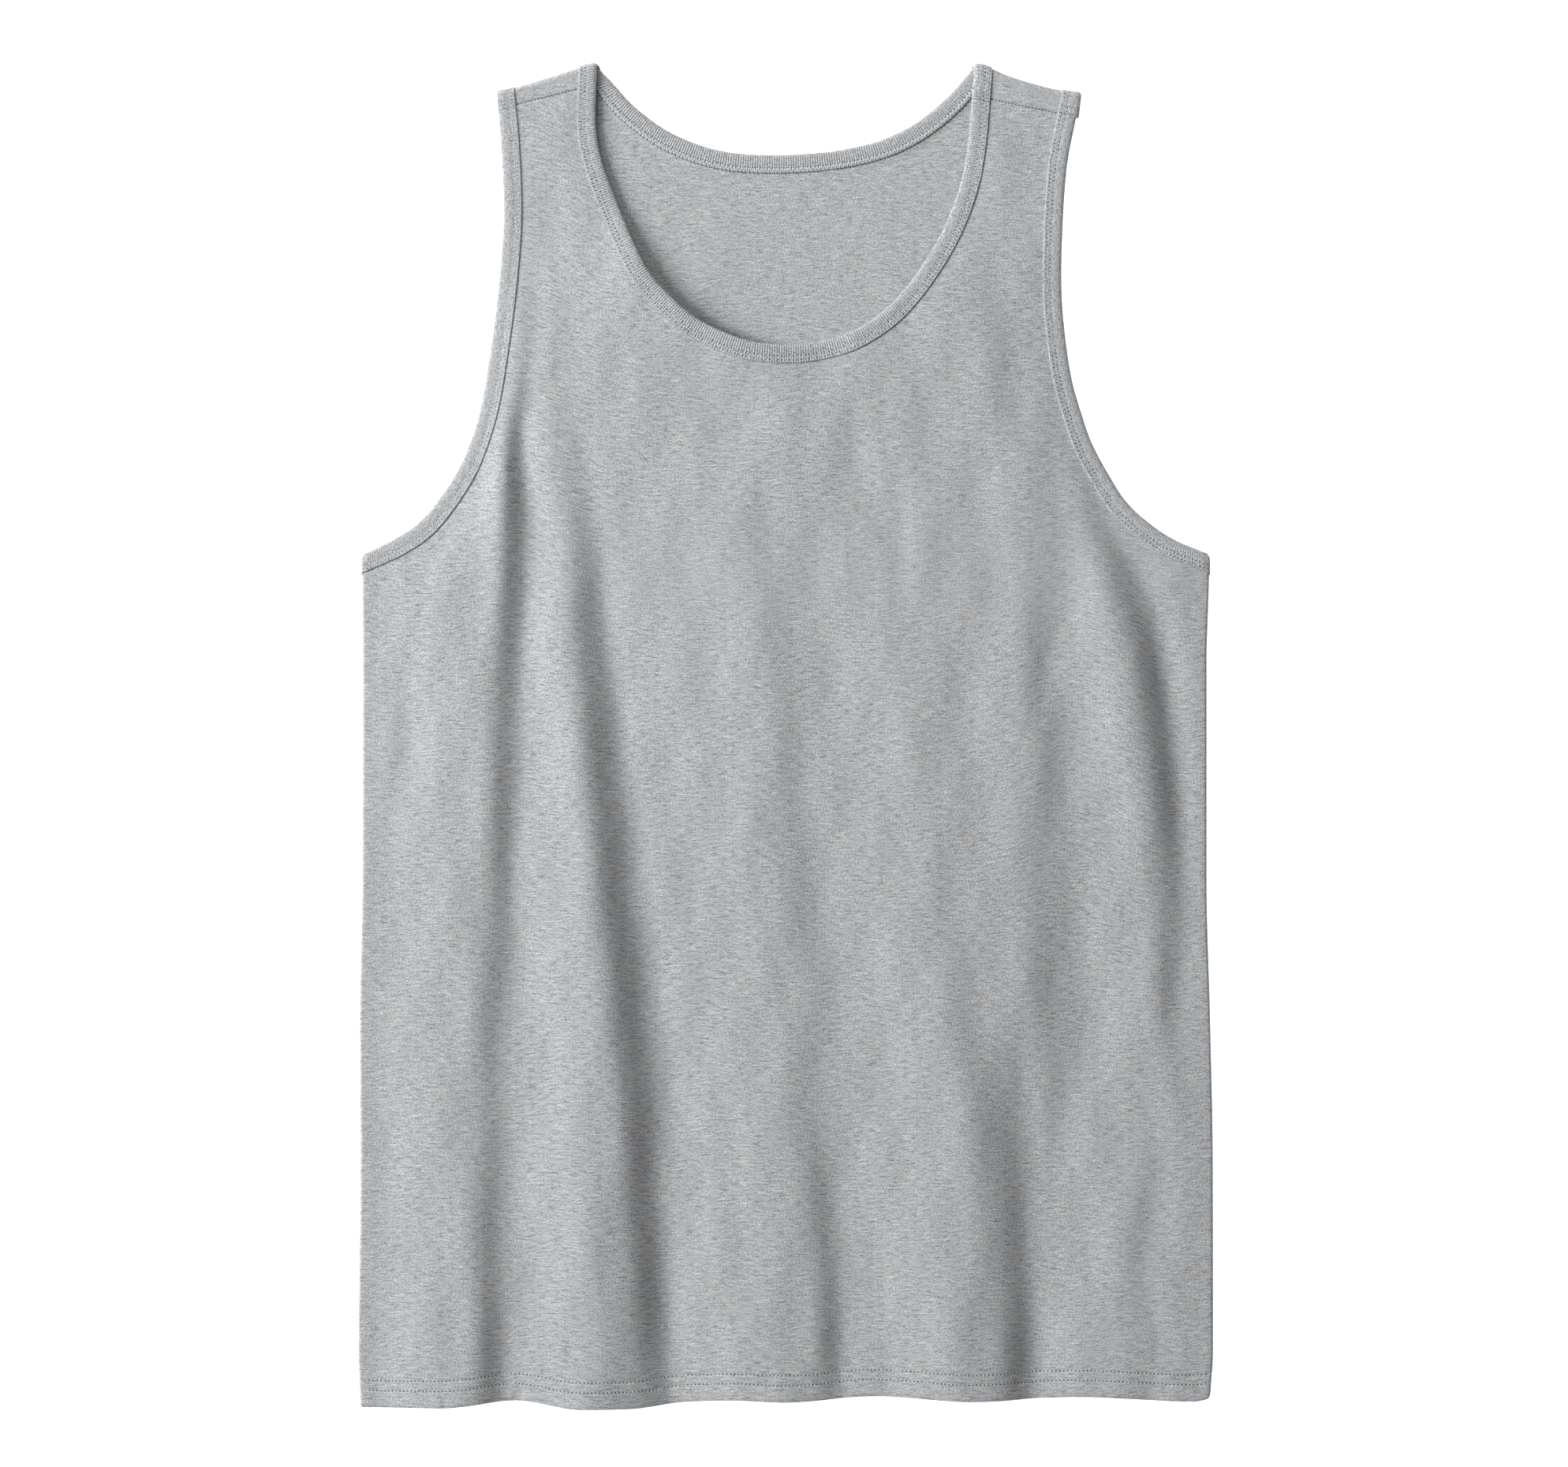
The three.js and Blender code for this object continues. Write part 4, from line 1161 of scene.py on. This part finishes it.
class Sewing:
    """Stitches gathered into one mesh."""

    def __init__(self, name):
        self.name = name
        self.points = []
        self.polygons = []
        self.kinds = []
        self.count = 0

    def add(self, shape, sizes, places, along, up, kind):
        """Copies of a shape at places, each turned to its own directions."""
        template, faces = shape
        scaled = template * np.broadcast_to(sizes, (len(places), 3))[:, None]
        axes = np.stack([along, unit(np.cross(up, along)), up], axis=1)
        copies = places[:, None] + np.einsum("ntk,nkc->ntc", scaled, axes)
        self.points.append(copies.reshape(-1, 3))
        for i in range(len(places)):
            base = self.count + i * len(template)
            self.polygons.extend(tuple(base + corner for corner in face) for face in faces)
        self.kinds.extend([kind] * (len(places) * len(faces)))
        self.count += len(places) * len(template)

    def row(self, line, normals, hole, pitch=STITCH_PITCH, length=STITCH_LENGTH, sunk=0.0):
        """A row of needle stitches along a line on the cloth, with a disc of painted shade in the
        needle hole between each two. They and these discs lie unevenly deep."""
        distance = distances_along(line)
        count = max(1, int(distance[-1] / pitch))
        at = (np.arange(count) + 0.5) * distance[-1] / count
        places = spaced(line, distance, at)
        up = unit(spaced(normals, distance, at))
        along = unit(spaced(line, distance, at + 0.3) - spaced(line, distance, at - 0.3))
        turned = unit(along + np.cross(up, along) * STITCH_SLANT)
        bite = 0.06 * np.sin(at * 1.9) + 0.05 * np.sin(at * 0.61)
        sizes = (length / 2, THREAD_RADIUS, THREAD_RADIUS)
        self.add(STITCH, sizes, places - up * (sunk + bite)[:, None], turned, up, 0)
        depth = 0.02 + 0.06 * np.sin(at * 0.37) + 0.04 * np.sin(at * 0.053 + 1) - sunk / 2
        holes = places + along * pitch / 2 + up * depth[:, None]
        self.add(HOLE_SHADE, (*hole, HOLE_DEPTH), holes, along, up, 1)

    def zigzag(self, first, second, up):
        """Looper threads that cross back and forth between two lines on a seam's inside."""
        pitch = STITCH_PITCH
        distance = distances_along(first)
        at = np.arange(int(distance[-1] / pitch)) * pitch
        begin, turn, end = (
            spaced(line, distance, at + pitch * share)
            for line, share in ((first, 0.0), (second, 0.5), (first, 1.0))
        )
        outward = unit(spaced(up, distance, at))
        for start, stop in ((begin, turn), (turn, end)):
            run = stop - start
            length = np.linalg.norm(run, axis=1)
            radius = np.full(len(run), LOOPER_RADIUS)
            sizes = np.stack([0.54 * length, radius, radius], -1)
            self.add(STITCH, sizes, (start + stop) / 2, run / length[:, None], outward, 0)
        # Discs of painted shade in the needle holes where the looper threads turn
        for place, hole in zip((begin, turn), LOOPER_HOLES):
            along = np.roll(place, -1, axis=0) - place
            along[-1] = along[-2]
            along = unit(along)
            middle = place + along * pitch / 2 - outward * 0.02
            self.add(HOLE_SHADE, (*hole, HOLE_DEPTH), middle, along, outward, 1)

    def finish(self, materials):
        points = np.concatenate(self.points)
        cloth = points[:, :2] + points[:, 2:]
        made = object_from(self.name, points, self.polygons, cloth, materials, sharp=80)
        made.data.polygons.foreach_set("material_index", np.array(self.kinds, np.int32))
        return made


def binding_line(ring, reach, inside=False):
    """A line along a binding's outside or inside, that far from the opening's edge, and its
    directions out of the cloth."""
    points, normals, height = ring
    first, last = (EDGE_ROW + 1, INNER_END) if inside else (0, EDGE_ROW)
    nearest = first + int(np.argmin(np.abs(SECTION[0][first:last] - reach)))
    line = points[:, nearest] + normals[:, nearest] * height[:, nearest, None]
    outward = normals[:, nearest] * (-1 if inside else 1)
    return np.concatenate([line, line[:1]]), np.concatenate([outward, outward[:1]])


def across_binding(ring, x, y):
    """A line across a binding's outside on the front, nearest to a place in the plan."""
    points, normals, height = ring
    middle = points[:, EDGE_ROW // 2]
    away = np.hypot(middle[:, 0] - x, middle[:, 1] - y) + 1000 * (middle[:, 2] < FOLD_LEVEL)
    station = int(np.argmin(away))
    rows = slice(1, EDGE_ROW - 1)
    line = points[station, rows] + normals[station, rows] * height[station, rows, None]
    return line, normals[station, rows]


jersey = heather("jersey_heather", 4.2, 1.0, ribs=0.0)
# The last number of each binding material is painted shade in the grooves between its ribs
neck_knit = heather("neck_heather", 1.6, 0.9, ribs=0.12)
arm_knit = heather("armhole_heather", 2.2, 0.9, ribs=0.06)
thread = mottled_material("thread_grey", (0.62, 0.63, 0.63, 1))
# Painted shade: near-black discs in the needle holes stand for the shade in each stitch's dimple
hole_shade = mottled_material("needle_hole_shade", (0.05, 0.054, 0.06, 1))

front = thickened("front_cloth", front_cloth(), jersey, np.array([0.0, 0.0]))
back = thickened("back_cloth", back_cloth(), jersey, np.array([900.0, 300.0]))
rings = {
    "neck": neck_ring(),
    "armhole_left": armhole_ring(left),
    "armhole_right": armhole_ring(right),
}
neck = ribbed("neck_rib", rings["neck"], neck_knit, NECK_RIB_DEPTH, inside_out=True)
armholes = {
    side: ribbed(f"armhole_rib_{side}", rings[f"armhole_{side}"], arm_knit, ARM_RIB_DEPTH,
                 inside_out=side == "right")
    for side in ("left", "right")
}


def binding_sewing(name, part):
    sewing = Sewing(name)
    ring = rings[part]
    for reach in NEEDLE_ROWS:
        sewing.row(*binding_line(ring, reach), HOLES[part])
    first, outward = binding_line(ring, LOOPER_ROWS[0], inside=True)
    second, _ = binding_line(ring, LOOPER_ROWS[1], inside=True)
    sewing.zigzag(first, second, outward)
    x, stitch_ys, seam_y = JOINS[part]
    for y in stitch_ys:
        sewing.row(*across_binding(ring, x, y), **JOIN_STITCHES)
    sewing.row(*across_binding(ring, x, seam_y), **JOIN_SEAM)
    return sewing.finish([thread, hole_shade])


def shoulder_sewing(name):
    """The bites of thread along both shoulder seams, with long discs of painted shade between them
    that draw the seam's dark dotted line.
    """
    sewing = Sewing(name)
    for side in both_sides:
        placed = on_front(*strap_row(side, 60, 0.0, 0.0)).shifted(SHOULDER_SEAM_SUNK)
        sewing.row(placed.faces()[0], placed.normals, **SHOULDER_BITES)
    return sewing.finish([thread, hole_shade])


def hem_sewing(name, hem_y, on_layer, sunk):
    sewing = Sewing(name)
    x = np.linspace(-HEM_ROW_END, HEM_ROW_END, 480)
    for height in HEM_ROWS:
        placed = on_layer(x, above_hem(hem_y, height, x)).shifted(sunk)
        sewing.row(placed.faces()[0], placed.normals, HEM_HOLE)
    return sewing.finish([thread, hole_shade])


neck_stitches = binding_sewing("neck_stitches", "neck")
armhole_stitches = {
    side: binding_sewing(f"armhole_stitches_{side}", f"armhole_{side}")
    for side in ("left", "right")
}
shoulder_stitches = shoulder_sewing("shoulder_stitches")
front_hem_stitches = hem_sewing("hem_stitches_front", front_hem_y, on_front, FRONT_HEM_SUNK)
back_hem_stitches = hem_sewing("hem_stitches_back", back_hem_y, on_back, BACK_HEM_SUNK)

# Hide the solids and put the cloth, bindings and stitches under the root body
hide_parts("front_panel")
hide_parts("back_panel")
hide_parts("neck_binding")
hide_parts("armhole_binding_left")
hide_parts("armhole_binding_right")
for piece in (front, back, front_hem_stitches, back_hem_stitches, shoulder_stitches):
    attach(piece, "root")
for piece in (neck, *armholes.values(), neck_stitches, *armhole_stitches.values()):
    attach(piece, "root")

# Floor, light and camera, in metres
FLOOR_HALF = 3.0
FLOOR_LEVEL = -0.0003  # just under the lowest threads of the back
FLOOR_GLOW = 1.1  # a light table, which keeps the garment's shadow on it faint
VIEW_CENTRE = Vector((-0.0009, 0.0013, 0.008))
VIEW_WIDTH = 0.8747
LENS = 150.0
SENSOR = 36.0


def pale_floor():
    mesh = bpy.data.meshes.new("floor")
    h = FLOOR_HALF
    z = FLOOR_LEVEL
    mesh.from_pydata([(-h, -h, z), (h, -h, z), (h, h, z), (-h, h, z)], [], [(0, 1, 2, 3)])
    floor = add_object("floor", mesh)
    material, surface = shader("floor_white", sheen=0.0)
    surface.inputs["Base Color"].default_value = (0.93, 0.93, 0.93, 1)
    surface.inputs["Emission Color"].default_value = (1, 1, 1, 1)
    surface.inputs["Emission Strength"].default_value = FLOOR_GLOW
    mesh.materials.append(material)


def soft_light(name, azimuth, elevation, distance, width, height, power):
    """An area light aimed at the garment. Azimuth is counter-clockwise from +X."""
    light = bpy.data.lights.new(name, "AREA")
    light.shape = "RECTANGLE"
    light.size = width
    light.size_y = height
    light.energy = power
    lamp = add_object(name, light)
    a, e = math.radians(azimuth), math.radians(elevation)
    lamp.location = distance * Vector((math.cos(a) * math.cos(e), math.sin(a) * math.cos(e),
                                       math.sin(e)))
    lamp.rotation_euler = (-lamp.location).to_track_quat("-Z", "Y").to_euler()


def camera_above():
    data = bpy.data.cameras.new("camera")
    data.lens = LENS
    data.sensor_width = SENSOR
    data.clip_end = 20
    camera = add_object("camera", data)
    camera.location = VIEW_CENTRE + Vector((0, 0, VIEW_WIDTH * LENS / SENSOR))
    bpy.context.scene.camera = camera


def sky(strength):
    world = bpy.data.worlds.new("soft_white")
    world.use_nodes = True
    background = world.node_tree.nodes["Background"]
    background.inputs["Color"].default_value = (1, 1, 1, 1)
    background.inputs["Strength"].default_value = strength
    bpy.context.scene.world = world


pale_floor()
soft_light("key", azimuth=171, elevation=35, distance=8.0, width=2.3, height=5.2, power=965)
soft_light("head", azimuth=108, elevation=40, distance=1.9, width=0.8, height=0.8, power=13)
sky(0.10)
camera_above()
bpy.context.scene.view_settings.view_transform = "Standard"
